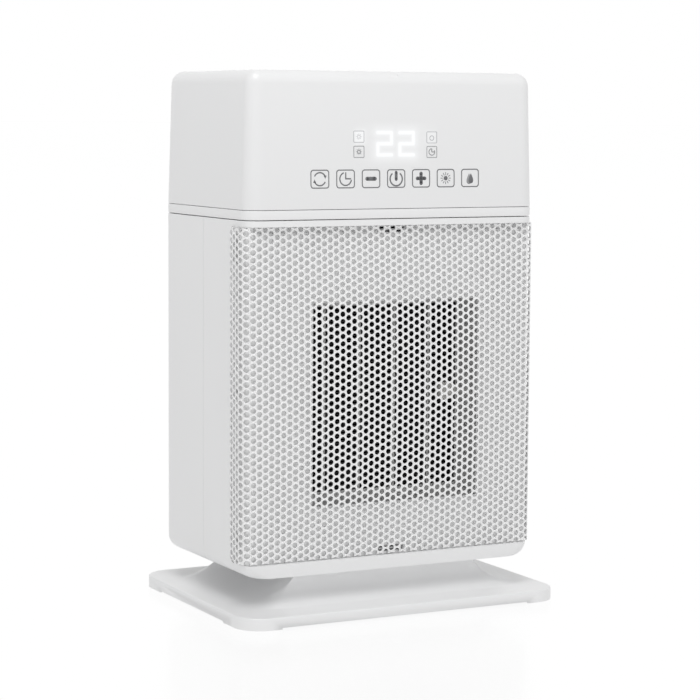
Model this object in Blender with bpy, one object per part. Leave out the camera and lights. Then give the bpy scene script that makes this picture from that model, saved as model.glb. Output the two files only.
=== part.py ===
"""Ceramic fan heater on a swivelling foot, with a touch display and a water tank in its head.

Metres, +Z up. The origin is the centre of the base's footprint on the floor. The front, with the
grille and the display, faces -Y, and +X is to the right of someone who looks at the front.
"""

import math

import bmesh
import bpy
from mathutils import Vector

# ---------------------------------------------------------------- driving dimensions

GAP = 0.0003                    # clearance between pieces that touch
WALL = 0.0025                   # moulded wall

# body housings
HALF_WIDTH = 0.100
FRONT_Y = -0.06125
REAR_Y = 0.0739
BODY_BOTTOM_Z = 0.0270
BODY_TOP_Z = 0.24295
FRONT_CORNER_R = 0.0102
REAR_CORNER_R = 0.0190
SIDE_BOTTOM_R = 0.0085
SEAM_Y = 0.0031                 # parting line between the front and rear housing
FLOOR_Z = BODY_BOTTOM_Z + WALL
CORNER_STEPS = 5                # facets of each rounded corner

# trim band and head
BAND_BOTTOM_Z = 0.24345
BAND_TOP_Z = 0.24915
BAND_THICKNESS = 0.0030
HEAD_BOTTOM_Z = 0.24945
HEAD_TOP_Z = 0.3325
HEAD_DRAFT = math.radians(1.7)
HEAD_FILLET_R = 0.0080
TRAY_BOTTOM_Z = 0.2440
TRAY_TOP_Z = 0.2462

# base
BASE_HALF_X = 0.110175
BASE_HALF_Y = 0.0820
BASE_CORNER_R = 0.0175
RIM_TOP_Z = 0.0078
RIM_EDGE_R = 0.0010
CORNER_FOOT_Z = 0.0003          # the rim's corners clear the floor by the pads' squeeze
RIM_LIFT = 0.0010               # the rim between its corners stands this much higher
CORNER_FOOT_X = 0.0860
CORNER_FOOT_Y = 0.0490
SHELL_WALL = 0.0022
NECK_Z = 0.0246
NECK_HALF_X = 0.0630
NECK_HALF_Y = 0.0497
FLARE_R = 0.0520                # radius of the pedestal's concave side
FLARE_START = math.radians(41)  # tilt of that side from upright at the neck
FLARE_Y_RATE = 17.5             # front and rear faces spread with the square of the depth below the neck
CREASE_FADE_R = 0.0270          # plan radius that the pedestal's corner creases open out to
FLARE_LEVELS = 8
BOTTOM_PLATE_Z = (0.0018, 0.0035)
FOOT_XY = (0.0880, 0.0600)
FOOT_R = 0.0060
FOOT_HEIGHT = 0.0015
BASE_BOSS_XY = (0.0520, 0.0360)

# swivel
HUB_R = 0.0220
HUB_BORE_R = 0.0150
HUB_FLANGE_R = 0.0360
HUB_BOTTOM_Z = 0.0128
HUB_FLANGE_T = 0.0030
BEARING_R = (0.0240, 0.0400)
GEAR_MODULE = 0.0020
GEAR_TEETH = 32
PINION_TEETH = 10
PRESSURE_ANGLE = math.radians(28)
GEAR_BACKLASH = 0.00035
GEAR_Z = (0.0160, 0.0210)
CLIP_Z = (0.0140, 0.0150)
CLIP_R = (0.0205, 0.0250)
MOTOR_CAN_R = 0.0140
MOTOR_SHAFT_OFFSET = 0.0080
MOTOR_Z = (0.0038, 0.0146)
PINION_SHAFT_Z = 0.0125
PINION_X = GEAR_MODULE * (GEAR_TEETH + PINION_TEETH) / 2

# front grille
GRILLE_HALF_WIDTH = 0.1008
GRILLE_THICKNESS = 0.0008
GRILLE_Z = (0.0347, 0.2399)
GRILLE_EDGE_Y = -0.0395
GRILLE_BEND_R = 0.0100
TAB_Z = (0.0386, 0.2365)        # the sheet's tabs hook in at the middle, low and high
TAB_HALF_SIZE = (0.0080, 0.0005)
TAB_TIP_Y = -0.0520
TAB_SLOT_HALF_SIZE = (0.0090, 0.0016)
SIDE_SLOTS = ((0.0500, 0.0080), (0.1390, 0.0040), (0.2260, 0.0180))    # height and length of each
SIDE_SLOT_X = (0.0930, 0.1100)
SIDE_SLOT_Y = (-0.0515, -0.0445)
FACE_Y = -0.05665               # housing face behind the grille
FACE_HALF_WIDTH = HALF_WIDTH - GAP
FACE_CORNER_R = 0.0065

# heating channel, a little right of the middle
CHANNEL_X = 0.0035
CHANNEL_HALF_WIDTH = 0.0575
CHANNEL_Z = (0.0680, 0.1926)
CHANNEL_MID_Z = (CHANNEL_Z[0] + CHANNEL_Z[1]) / 2
DUCT_WALL = 0.0015
DUCT_Y = (FACE_Y + WALL + GAP, -0.0130)
ELEMENT_Y = (-0.0317, -0.0167)
ELEMENT_Z = (0.0724, 0.1882)
FRAME_SIDE = 0.0008
BAR_SPACING = 0.0246
BAR_WIDTH = 0.0024
BAR_COUNT = 4
FIN_THICKNESS = 0.0005
FIN_LEVELS = 18
ELEMENT_MARGIN = 0.0004         # fins and bars stand this far inside the frame's depth
FUSE_LOW = (0.0455, -0.0372, 0.1270)
FUSE_HIGH = (0.0545, -0.0322, 0.1375)
FUSE_LEAD_Y = (-0.0360, -0.0350)
FUSE_LEAD_Z = (0.1305, 0.1340)
CUTOUT_Y = -0.0250
CUTOUT_R = 0.0080
CUTOUT_HEIGHT = 0.0070
CUTOUT_TERMINAL = (0.0120, 0.0012, 0.0008)

# fan
FAN_TIP_R = 0.0545
FAN_HUB_R = 0.0200
FAN_Y = (-0.0090, 0.0080)
FAN_BLADES = 7
SHROUD_R = (0.0560, 0.0580)
SHROUD_Y = (-0.0127, 0.0130)
SHROUD_PLATE_T = 0.0020
FAN_MOTOR_R = 0.0220
FAN_MOTOR_Y = (0.0136, 0.0500)
SHAFT_R = 0.0025
SHAFT_CLEARANCE = 0.0001
SHAFT_END_Y = 0.0300
BLADE_THICKNESS = 0.0014
BLADE_CHORD = (46, 6)           # degrees of the hub's circle at the root, and how many fewer at the tip
BLADE_DEPTH = (0.0145, 0.0050)  # depth at the root, and how much less at the tip
BLADE_SWEEP = math.radians(14)
BLADE_CAMBER = 0.0018
SPOKE_HALF_WIDTH = 0.0030
SPOKE_DEPTH = 0.0030
SPOKE_BORE_R = 0.0045
MOTOR_BOSS_R = 0.0080
MOTOR_BOSS_HEIGHT = 0.0040

# rear intake
INTAKE_HALF_WIDTH = 0.0700
INTAKE_Z = (0.0580, 0.2080)
INTAKE_LEDGE = 0.0040
INTAKE_SEAT_Y = REAR_Y - WALL - GAP
SLOT_COLUMNS = 4
SLOT_ROWS = 17
SLOT_HEIGHT = 0.0038
SLOT_MARGIN = 0.0065
SLOT_WEB = 0.0055
COVER_GAP = 0.0004
COVER_RIM = 0.0024
COVER_SKIN = 0.0013
FINGER_NOTCH_R = 0.0080

# fasteners
PILLAR_X = 0.0780
PILLAR_Z = (0.0450, 0.2280)
PILLAR_R = 0.0055
SCREW_R = 0.0016
SCREW_HEAD_R = 0.0034
SCREW_SHOULDER_Y = SEAM_Y + 0.0050
WELL_R = PILLAR_R - 0.0015

# tip-over switch
TILT_XY = (-0.0560, 0.0300)
TILT_R = 0.0070
TILT_HEIGHT = 0.0180
TILT_FOOT = (0.0120, 0.0050, 0.0020)

# rear fittings
SWITCH_XZ = (0.0450, 0.0420)
GLAND_XZ = (-0.0450, 0.0420)
GLAND_HOLE_R = 0.0061
SWITCH_HALF = (0.0105, 0.0062)
SWITCH_RIM_HALF = (0.0130, 0.0086)
SWITCH_POCKET_HALF = (0.0088, 0.0048)
SWITCH_Y = (0.0560, 0.0748)
SWITCH_POCKET_Y = 0.0660
ROCKER_HALF_WIDTH = 0.0082
ROCKER_TILT = math.radians(8)
ROCKER_PIVOT_Y = 0.0712

# head contents
TANK_HALF_WIDTH = 0.0727
TANK_FRONT_Y = 0.0240
TANK_BODY_Z = (0.2535, 0.3120)
TANK_PANEL_TOP_Z = 0.3225
TANK_WALL = 0.0022
CAP_Y = 0.0450
CAP_R = 0.0130
CAP_TOP_Z = 0.3190
CAP_GRIP = (0.0100, 0.0012, 0.0025)
GRIP_HALF_WIDTH = 0.0260
GRIP_Y = 0.0630
GRIP_Z = (0.2960, 0.3080)
TANK_PANEL_Y = 0.0665
NECK_BORE_R = 0.0100
NOZZLE_XY = (0.0, 0.0110)
NOZZLE_R = 0.0120
NOZZLE_Z = (0.3288, HEAD_TOP_Z - 0.0001)
NOZZLE_SLOTS = ((-0.0060, 0.0060), (0.0, 0.0085), (0.0060, 0.0060))    # y and half length of each
NOZZLE_SLOT_HALF_WIDTH = 0.0012
CHAMBER_HALF = (0.0150, 0.0100)
CHAMBER_TOP_Z = 0.3230
CHAMBER_WALL = 0.0015
DISC_R = 0.0078
DISC_HEIGHT = 0.0025
BOARD_LOW = (-0.0680, -0.0532, 0.2580)
BOARD_HIGH = (0.0680, -0.0516, 0.3040)
BOARD_HOLES_X = 0.0640
BOARD_HOLES_Z = (0.2620, 0.3000)
MODULE_LOW = (-0.0300, -0.0570, 0.2780)
MODULE_HIGH = (0.0300, -0.0535, 0.2995)
POWER_BOARD_LOW = (-0.0750, -0.0480, 0.2505)
POWER_BOARD_HIGH = (0.0750, -0.0020, 0.2521)
RELAY_LOW = (-0.0600, -0.0300, 0.2524)
RELAY_HIGH = (-0.0400, -0.0140, 0.2680)
WIRE_SLOT = ((-0.0300, -0.0200), (0.0300, -0.0060))                     # opening between body and head

# finishes: colour, roughness, metallic
WHITE_PLASTIC = ((0.88, 0.88, 0.88), 0.35, 0.0)
WHITE_STEEL = ((0.86, 0.86, 0.86), 0.45, 0.0)
GREY_PLASTIC = ((0.45, 0.45, 0.46), 0.5, 0.0)
BLACK_PLASTIC = ((0.03, 0.03, 0.03), 0.5, 0.0)
SMOKE_PLASTIC = ((0.35, 0.42, 0.48), 0.15, 0.0)
RUBBER = ((0.05, 0.05, 0.05), 0.85, 0.0)
ACETAL = ((0.80, 0.79, 0.75), 0.4, 0.0)
ZINC = ((0.62, 0.62, 0.62), 0.35, 1.0)
ALUMINIUM = ((0.60, 0.61, 0.62), 0.4, 1.0)
CERAMIC = ((0.80, 0.78, 0.72), 0.6, 0.0)
BOARD_GREEN = ((0.05, 0.20, 0.09), 0.5, 0.0)
FILTER_GREY = ((0.12, 0.12, 0.13), 0.8, 0.0)


# ---------------------------------------------------------------- scene and object helpers

def clear_scene():
    """Remove every object, so that a second run starts from nothing."""
    for old in list(bpy.data.objects):
        bpy.data.objects.remove(old, do_unlink=True)


def finish_material(name, finish):
    """A Principled material with one colour, roughness and metallic value."""
    colour, roughness, metallic = finish
    material = bpy.data.materials.new(name)
    material.use_nodes = True
    shader = material.node_tree.nodes["Principled BSDF"]
    shader.inputs["Base Color"].default_value = (*colour, 1.0)
    shader.inputs["Roughness"].default_value = roughness
    shader.inputs["Metallic"].default_value = metallic
    return material


def joint_axis(name, place, parent=None):
    """An empty on a joint's axis, which carries the pieces that move about it."""
    axis = bpy.data.objects.new(name, None)
    bpy.context.scene.collection.objects.link(axis)
    axis.parent = parent
    start = world_place(parent) if parent else Vector((0.0, 0.0, 0.0))
    axis.location = Vector(place) - start
    return axis


def world_place(axis):
    """World position of an empty whose parents only shift it."""
    place = Vector((0.0, 0.0, 0.0))
    while axis:
        place += axis.location
        axis = axis.parent
    return place


def to_object(name, bm):
    """A new object, at the world's origin, from a bmesh whose faces are turned outwards."""
    bmesh.ops.recalc_face_normals(bm, faces=bm.faces)
    mesh = bpy.data.meshes.new(name)
    bm.to_mesh(mesh)
    bm.free()
    shape = bpy.data.objects.new(name, mesh)
    bpy.context.scene.collection.objects.link(shape)
    return shape


def piece(name, bm, finish, axis=None, smooth=True):
    """A named sub-part with its own material, carried by its joint's empty."""
    part = to_object(name, bm)
    part.data.materials.append(finish_material(name, finish))
    if axis:
        part.parent = axis
        part.location = -world_place(axis)
    if smooth:
        part.data.shade_smooth()
        part.data.set_sharp_from_angle(angle=math.radians(35))
    return part


def tool(name, bm):
    """A cutter or a joined-on shape, which isn't a piece itself."""
    shape = to_object(name, bm)
    shape.hide_render = True
    shape.display_type = "WIRE"
    return shape


def boolean(target, operation, bm):
    """Cut, join or trim a piece with a shape."""
    modifier = target.modifiers.new(operation.lower(), "BOOLEAN")
    modifier.operation = operation
    modifier.solver = "EXACT"
    number = len(target.modifiers)
    modifier.object = tool(f"{target.name}_tool_{number}", bm)
    return modifier.object


def cut(target, bm):
    """Take a shape away from a piece."""
    return boolean(target, "DIFFERENCE", bm)


def join(target, bm):
    """Add a shape to a piece, as one body."""
    return boolean(target, "UNION", bm)


# ---------------------------------------------------------------- shape helpers

def arc(centre, radius, start, end, steps):
    """Points of an arc, ends included."""
    angles = [start + (end - start) * i / steps for i in range(steps + 1)]
    return [(centre[0] + radius * math.cos(a), centre[1] + radius * math.sin(a)) for a in angles]


def rounded_outline(low, high, radii, steps=CORNER_STEPS):
    """Rectangle between two corners, each corner with its own radius, from +u +v round to +u -v."""
    corners = [(high[0], high[1], -1, -1), (low[0], high[1], 1, -1),
               (low[0], low[1], 1, 1), (high[0], low[1], -1, 1)]
    points = []
    for quarter, ((u, v, su, sv), radius) in enumerate(zip(corners, radii)):
        start = quarter * math.pi / 2
        points += arc((u + su * radius, v + sv * radius), radius, start, start + math.pi / 2, steps)
    return points


def circle_outline(centre, radius, count=4 * (CORNER_STEPS + 1)):
    """Circle whose points pair with those of a rounded outline of the same count."""
    angles = [(i + 0.5) * math.tau / count for i in range(count)]
    return [(centre[0] + radius * math.cos(a), centre[1] + radius * math.sin(a)) for a in angles]


def placed(point, axis, level):
    """A flat (u, v) point at a level along an axis; u, v run along the other two axes in order."""
    u, v = point
    return {"X": (level, u, v), "Y": (u, level, v), "Z": (u, v, level)}[axis]


def loft(loops, ring=False):
    """Closed skin through loops of equal length, capped at both ends or joined into a ring."""
    bm = bmesh.new()
    rows = [[bm.verts.new(point) for point in loop] for loop in loops]
    pairs = list(zip(rows, rows[1:]))
    if ring:
        pairs.append((rows[-1], rows[0]))
    else:
        bm.faces.new(rows[0])
        bm.faces.new(rows[-1])
    for near, far in pairs:
        for i in range(len(near)):
            j = (i + 1) % len(near)
            bm.faces.new((near[i], near[j], far[j], far[i]))
    return bm


def prism(outline, axis, low, high):
    """Outline extruded along an axis."""
    return loft([[placed(p, axis, level) for p in outline] for level in (low, high)])


def box(low, high):
    """Block between two corners."""
    outline = [(high[0], high[1]), (low[0], high[1]), (low[0], low[1]), (high[0], low[1])]
    return prism(outline, "Z", low[2], high[2])


def rod(centre, radius, axis, low, high, count=24):
    """Cylinder along an axis; centre gives its place across the axis."""
    return prism(circle_outline(centre, radius, count), axis, low, high)


def tube(centre, radii, axis, low, high, count=32):
    """Hollow cylinder along an axis, from its inner and outer radius."""
    inner, outer = (circle_outline(centre, r, count) for r in radii)
    loops = [(outer, low), (outer, high), (inner, high), (inner, low)]
    return loft([[placed(p, axis, level) for p in outline] for outline, level in loops], ring=True)


def frame_prism(outer, inner, axis, low, high):
    """Ring between two outlines of equal length, extruded along an axis."""
    loops = [(outer, low), (outer, high), (inner, high), (inner, low)]
    return loft([[placed(p, axis, level) for p in outline] for outline, level in loops], ring=True)


def rectangle(low, high):
    """Four corners of a rectangle."""
    return [(high[0], high[1]), (low[0], high[1]), (low[0], low[1]), (high[0], low[1])]


def merge(*parts):
    """One bmesh that holds several closed shapes."""
    bm = bmesh.new()
    for part in parts:
        mesh = bpy.data.meshes.new("merge")
        part.to_mesh(mesh)
        part.free()
        bm.from_mesh(mesh)
        bpy.data.meshes.remove(mesh)
    return bm


def ribbon(path, thickness):
    """Outline of a flat strip that follows a path, with mitred corners."""
    points = [Vector(p) for p in path]
    sides = ([], [])
    for i, point in enumerate(points):
        before = (point - points[i - 1]).normalized() if i else None
        after = (points[i + 1] - point).normalized() if i + 1 < len(points) else None
        before = before or after
        after = after or before
        normal = Vector((-(before + after).y, (before + after).x)).normalized()
        reach = thickness / 2 / normal.dot(Vector((-before.y, before.x)))
        sides[0].append(tuple(point + normal * reach))
        sides[1].append(tuple(point - normal * reach))
    return sides[0] + sides[1][::-1]


def plan_outline(inset=0.0):
    """Body outline seen from above, moved inwards by the inset."""
    front_r, rear_r = (max(r - inset, 0.002) for r in (FRONT_CORNER_R, REAR_CORNER_R))
    low = (-HALF_WIDTH + inset, FRONT_Y + inset)
    high = (HALF_WIDTH - inset, REAR_Y - inset)
    return rounded_outline(low, high, (rear_r, rear_r, front_r, front_r))


# ---------------------------------------------------------------- base

def pedestal_outline(z, inset):
    """Pedestal section at a height: the sides flare as an arc, the corner creases open into curves."""
    depth = NECK_Z - z
    tilt = math.asin(math.sin(FLARE_START) + depth / FLARE_R)
    radius = CREASE_FADE_R * (depth / (NECK_Z - RIM_TOP_Z)) ** 3 + 0.0006
    spread = radius * (1 - math.sqrt(0.5))
    half_x = NECK_HALF_X + FLARE_R * (math.cos(FLARE_START) - math.cos(tilt)) + spread - inset
    half_y = NECK_HALF_Y + FLARE_Y_RATE * depth ** 2 + spread - inset
    return rounded_outline((-half_x, -half_y), (half_x, half_y), (radius,) * 4)


def base_outline(inset):
    """Base plate outline, moved inwards by the inset."""
    half = (BASE_HALF_X - inset, BASE_HALF_Y - inset)
    radius = max(BASE_CORNER_R - inset, 0.002)
    return rounded_outline((-half[0], -half[1]), half, (radius,) * 4)


def base_shell():
    """Plate and pedestal in one moulding, hollow underneath, with the swivel bore in its neck."""
    heights = [NECK_Z - (NECK_Z - RIM_TOP_Z) * i / FLARE_LEVELS for i in range(FLARE_LEVELS + 1)]
    bore = circle_outline((0, 0), HUB_R + GAP)
    rim_edge = [(RIM_EDGE_R * (1 - math.sin(a)), RIM_TOP_Z - RIM_EDGE_R * (1 - math.cos(a)))
                for a in (0.0, math.pi / 4, math.pi / 2)]
    outside = [(bore, NECK_Z)] + [(pedestal_outline(z, 0.0), z) for z in heights]
    outside += [(base_outline(inset), z) for inset, z in rim_edge] + [(base_outline(0.0), CORNER_FOOT_Z)]
    inside = [(base_outline(SHELL_WALL), CORNER_FOOT_Z),
              (base_outline(SHELL_WALL), RIM_TOP_Z - SHELL_WALL)]
    inside += [(pedestal_outline(z, WALL), z - SHELL_WALL) for z in reversed(heights)]
    inside += [(bore, NECK_Z - SHELL_WALL)]
    loops = [[placed(p, "Z", z) for p in outline] for outline, z in outside + inside]
    shell = piece("base_shell", loft(loops, ring=True), WHITE_PLASTIC)
    for sx in (-1, 1):
        for sy in (-1, 1):
            centre = (sx * BASE_BOSS_XY[0], sy * BASE_BOSS_XY[1])
            boss_top = NECK_Z - 0.0010
            join(shell, tube(centre, (SCREW_R + GAP, 0.0040), "Z", BOTTOM_PLATE_Z[1] + GAP, boss_top, 16))
    far = 0.2
    cut(shell, box((-CORNER_FOOT_X, -far, -far), (CORNER_FOOT_X, far, CORNER_FOOT_Z + RIM_LIFT)))
    cut(shell, box((-far, -CORNER_FOOT_Y, -far), (far, CORNER_FOOT_Y, CORNER_FOOT_Z + RIM_LIFT)))


def base_underside():
    """Bottom plate with its screws and rubber pads."""
    plate = piece("base_bottom", prism(base_outline(SHELL_WALL + GAP), "Z", *BOTTOM_PLATE_Z), GREY_PLASTIC)
    number = 0
    for sx in (-1, 1):
        for sy in (-1, 1):
            number += 1
            screw_at = (sx * BASE_BOSS_XY[0], sy * BASE_BOSS_XY[1])
            cut(plate, rod(screw_at, SCREW_R + GAP, "Z", -0.01, 0.01, 16))
            head_top = BOTTOM_PLATE_Z[0] - GAP
            screw(f"base_screw_{number}", screw_at, "Z", head_top, -0.0011, 0.0130)
            foot_at = (sx * FOOT_XY[0], sy * FOOT_XY[1])
            piece(f"foot_{number}", rod(foot_at, FOOT_R, "Z", 0.0, FOOT_HEIGHT, 20), RUBBER)


def screw(name, centre, axis, shoulder, head_height, tip, carrier=None):
    """Pan-head screw: the head reaches head_height past the shoulder, the shank runs to the tip."""
    head_side = shoulder + head_height
    levels = [(SCREW_HEAD_R * 0.75, head_side), (SCREW_HEAD_R, head_side - head_height * 0.45),
              (SCREW_HEAD_R, shoulder), (SCREW_R, shoulder), (SCREW_R, tip)]
    loops = []
    for radius, level in levels:
        loops.append([placed(p, axis, level) for p in circle_outline(centre, radius, 16)])
    piece(name, loft(loops), ZINC, carrier)


# ---------------------------------------------------------------- swivel drive

def gear_outline(centre, teeth, phase):
    """Involute teeth: each flank from the root circle to the tip, with backlash shared by both sides."""
    pitch_r = GEAR_MODULE * teeth / 2
    base_r = pitch_r * math.cos(PRESSURE_ANGLE)
    tip_r = pitch_r + 0.8 * GEAR_MODULE
    root_r = pitch_r - 1.1 * GEAR_MODULE

    def half_thickness(radius):
        """Half of the tooth's angular width at a radius."""
        angle = math.acos(min(1.0, base_r / radius))
        involute = math.tan(PRESSURE_ANGLE) - PRESSURE_ANGLE - (math.tan(angle) - angle)
        return math.pi / (2 * teeth) + involute - GEAR_BACKLASH / (2 * pitch_r)

    radii = [root_r] + [max(base_r, root_r) + (tip_r - max(base_r, root_r)) * i / 2 for i in range(3)]
    if base_r < root_r:
        radii = radii[1:]
    points = []
    for tooth in range(teeth):
        middle = phase + tooth * math.tau / teeth
        rising = [(r, middle - half_thickness(r)) for r in radii]
        falling = [(r, middle + half_thickness(r)) for r in reversed(radii)]
        points += [(centre[0] + r * math.cos(a), centre[1] + r * math.sin(a)) for r, a in rising + falling]
    return points


def swivel(heater_axis, pinion_axis):
    """Hub, bearing, ring gear, retaining clip, and the geared motor in the pedestal."""
    flange_z = FLOOR_Z + GAP
    profile = [(HUB_BORE_R, HUB_BOTTOM_Z), (HUB_R, HUB_BOTTOM_Z), (HUB_R, CLIP_Z[0] - GAP),
               (CLIP_R[0] - GAP, CLIP_Z[0] - GAP), (CLIP_R[0] - GAP, CLIP_Z[1] + GAP),
               (HUB_R, CLIP_Z[1] + GAP), (HUB_R, flange_z), (HUB_FLANGE_R, flange_z),
               (HUB_FLANGE_R, flange_z + HUB_FLANGE_T), (HUB_BORE_R, flange_z + HUB_FLANGE_T)]
    loops = [[placed(p, "Z", z) for p in circle_outline((0, 0), r, 32)] for r, z in profile]
    piece("swivel_hub", loft(loops, ring=True), GREY_PLASTIC, heater_axis)

    bearing_z = (NECK_Z + GAP, BODY_BOTTOM_Z - GAP)
    piece("swivel_bearing", tube((0, 0), BEARING_R, "Z", *bearing_z), ACETAL)

    gear = piece("swivel_gear", prism(gear_outline((0, 0), GEAR_TEETH, math.pi / GEAR_TEETH), "Z", *GEAR_Z),
                 ACETAL, heater_axis, smooth=False)
    cut(gear, rod((0, 0), HUB_R + GAP, "Z", 0.0, 0.1, 32))

    clip = arc((0, 0), CLIP_R[1], math.radians(20), math.radians(340), 28)
    clip += arc((0, 0), CLIP_R[0], math.radians(340), math.radians(20), 28)
    piece("retaining_clip", prism(clip, "Z", *CLIP_Z), ZINC, heater_axis)

    pinion = piece("drive_pinion", prism(gear_outline((PINION_X, 0), PINION_TEETH, 0.0), "Z", *GEAR_Z),
                   ACETAL, pinion_axis, smooth=False)
    join(pinion, rod((PINION_X, 0), SHAFT_R, "Z", PINION_SHAFT_Z, GEAR_Z[0] + 0.001, 20))

    can = rod((PINION_X + MOTOR_SHAFT_OFFSET, 0), MOTOR_CAN_R, "Z", *MOTOR_Z, 32)
    motor = piece("swivel_motor", can, ZINC)
    cut(motor, rod((PINION_X, 0), SHAFT_R + GAP, "Z", PINION_SHAFT_Z - 0.0005, GEAR_Z[1], 20))


# ---------------------------------------------------------------- body housings

def housing_loops(end_y, seam_y, corner_r, half_width, low_z, high_z, bottom_r):
    """Upright sections from a housing's closed end to the seam; the end corners curve in plan."""
    towards = 1 if seam_y > end_y else -1
    stations = []
    for i in range(CORNER_STEPS + 1):
        angle = math.pi / 2 * (1 - i / CORNER_STEPS)
        y = end_y + towards * corner_r * (1 - math.sin(angle))
        stations.append((y, corner_r * (1 - math.cos(angle))))
    stations.append((seam_y, 0.0))
    loops = []
    for y, inset in stations:
        half = half_width - inset
        outline = rounded_outline((-half, low_z), (half, high_z), (0.0006, 0.0006, bottom_r, bottom_r))
        loops.append([placed(p, "Y", y) for p in outline])
    return loops


def housing(end_y, inner_end_y, seam_y, corner_r):
    """Box-like shell, open at the seam."""
    outside = housing_loops(end_y, seam_y, corner_r, HALF_WIDTH, BODY_BOTTOM_Z, BODY_TOP_Z, SIDE_BOTTOM_R)
    inner_r = max(corner_r - WALL, 0.004)
    inside = housing_loops(inner_end_y, seam_y, inner_r, HALF_WIDTH - WALL, FLOOR_Z, BODY_TOP_Z - WALL,
                           SIDE_BOTTOM_R - WALL)
    return loft(outside + inside[::-1])


def grille_seat():
    """Room for the wrapped grille: everything outside the housing face, over the grille's height."""
    far = 0.13
    edge_y = GRILLE_EDGE_Y + GAP
    inner = rounded_outline((-FACE_HALF_WIDTH, FACE_Y), (FACE_HALF_WIDTH, far),
                            (0.001, 0.001, FACE_CORNER_R, FACE_CORNER_R))
    face = [p for p in inner if p[1] < edge_y]
    outline = [(-far, edge_y), (-far, -far), (far, -far), (far, edge_y), (FACE_HALF_WIDTH, edge_y)]
    outline += face[::-1] + [(-FACE_HALF_WIDTH, edge_y)]
    return prism(outline, "Z", GRILLE_Z[0] - GAP, GRILLE_Z[1] + GAP)


def clip_windows():
    """Slots behind the grille: one for each tab in the face, and three catches down each side."""
    windows = []
    half_x, half_z = TAB_SLOT_HALF_SIZE
    for z in TAB_Z:
        windows.append(box((-half_x, -0.07, z - half_z), (half_x, -0.05, z + half_z)))
    for side in (-1, 1):
        low, high = sorted(side * x for x in SIDE_SLOT_X)
        for z, tall in SIDE_SLOTS:
            windows.append(box((low, SIDE_SLOT_Y[0], z - tall / 2), (high, SIDE_SLOT_Y[1], z + tall / 2)))
    return merge(*windows)


def front_housing(heater_axis):
    """Front shell: sides, floor, top and the face behind the grille, with screw pillars."""
    shell = piece("front_housing", housing(FRONT_Y, FACE_Y + WALL, SEAM_Y - GAP / 2, FRONT_CORNER_R),
                  WHITE_PLASTIC, heater_axis)
    cut(shell, grille_seat())
    cut(shell, box((CHANNEL_X - CHANNEL_HALF_WIDTH, -0.09, CHANNEL_Z[0]),
                   (CHANNEL_X + CHANNEL_HALF_WIDTH, -0.05, CHANNEL_Z[1])))
    cut(shell, clip_windows())
    cut(shell, rod((0, 0), HUB_R + GAP, "Z", 0.0, FLOOR_Z + 0.005, 32))
    cut(shell, box((*WIRE_SLOT[0], BODY_TOP_Z - 0.01), (*WIRE_SLOT[1], BODY_TOP_Z + 0.01)))
    for sx in (-1, 1):
        for z in PILLAR_Z:
            start = FACE_Y + WALL / 2
            join(shell, rod((sx * PILLAR_X, z), WELL_R, "Y", start, SEAM_Y - GAP / 2, 16))
            cut(shell, rod((sx * PILLAR_X, z), SCREW_R + GAP, "Y", -0.0140, 0.02, 16))


def rear_housing(heater_axis):
    """Rear shell: the intake opening with its ledge, deep screw wells, switch and cord openings."""
    shell = piece("rear_housing", housing(REAR_Y, REAR_Y - WALL, SEAM_Y + GAP / 2, REAR_CORNER_R),
                  WHITE_PLASTIC, heater_axis)
    wide, low_z, high_z = INTAKE_HALF_WIDTH, INTAKE_Z[0], INTAKE_Z[1]
    step = 0.003
    join(shell, frame_prism(rectangle((-wide - step, low_z - step), (wide + step, high_z + step)),
                            rectangle((-wide + INTAKE_LEDGE, low_z + INTAKE_LEDGE),
                                      (wide - INTAKE_LEDGE, high_z - INTAKE_LEDGE)),
                            "Y", INTAKE_SEAT_Y - 0.0022, REAR_Y - 0.001))
    cut(shell, box((-wide, INTAKE_SEAT_Y, low_z), (wide, 0.1, high_z)))
    for sx in (-1, 1):
        for z in PILLAR_Z:
            join(shell, rod((sx * PILLAR_X, z), PILLAR_R, "Y", SEAM_Y + GAP / 2, REAR_Y - 0.001, 20))
            cut(shell, rod((sx * PILLAR_X, z), WELL_R, "Y", SCREW_SHOULDER_Y, 0.1, 20))
            cut(shell, rod((sx * PILLAR_X, z), SCREW_R + GAP, "Y", -0.01, 0.02, 16))
    cut(shell, rod((0, 0), HUB_R + GAP, "Z", 0.0, FLOOR_Z + 0.005, 32))
    cut(shell, rod(GLAND_XZ, GLAND_HOLE_R, "Y", 0.06, 0.09, 24))
    half_x, half_z = (half + GAP for half in SWITCH_HALF)
    cut(shell, box((SWITCH_XZ[0] - half_x, 0.06, SWITCH_XZ[1] - half_z),
                   (SWITCH_XZ[0] + half_x, 0.09, SWITCH_XZ[1] + half_z)))


def housing_screws(heater_axis):
    """Screws at the bottom of the rear wells, one for each pillar."""
    number = 0
    for sx in (-1, 1):
        for z in PILLAR_Z:
            number += 1
            screw(f"housing_screw_{number}", (sx * PILLAR_X, z), "Y", SCREW_SHOULDER_Y + GAP, 0.0024,
                  -0.0120, heater_axis)


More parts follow.
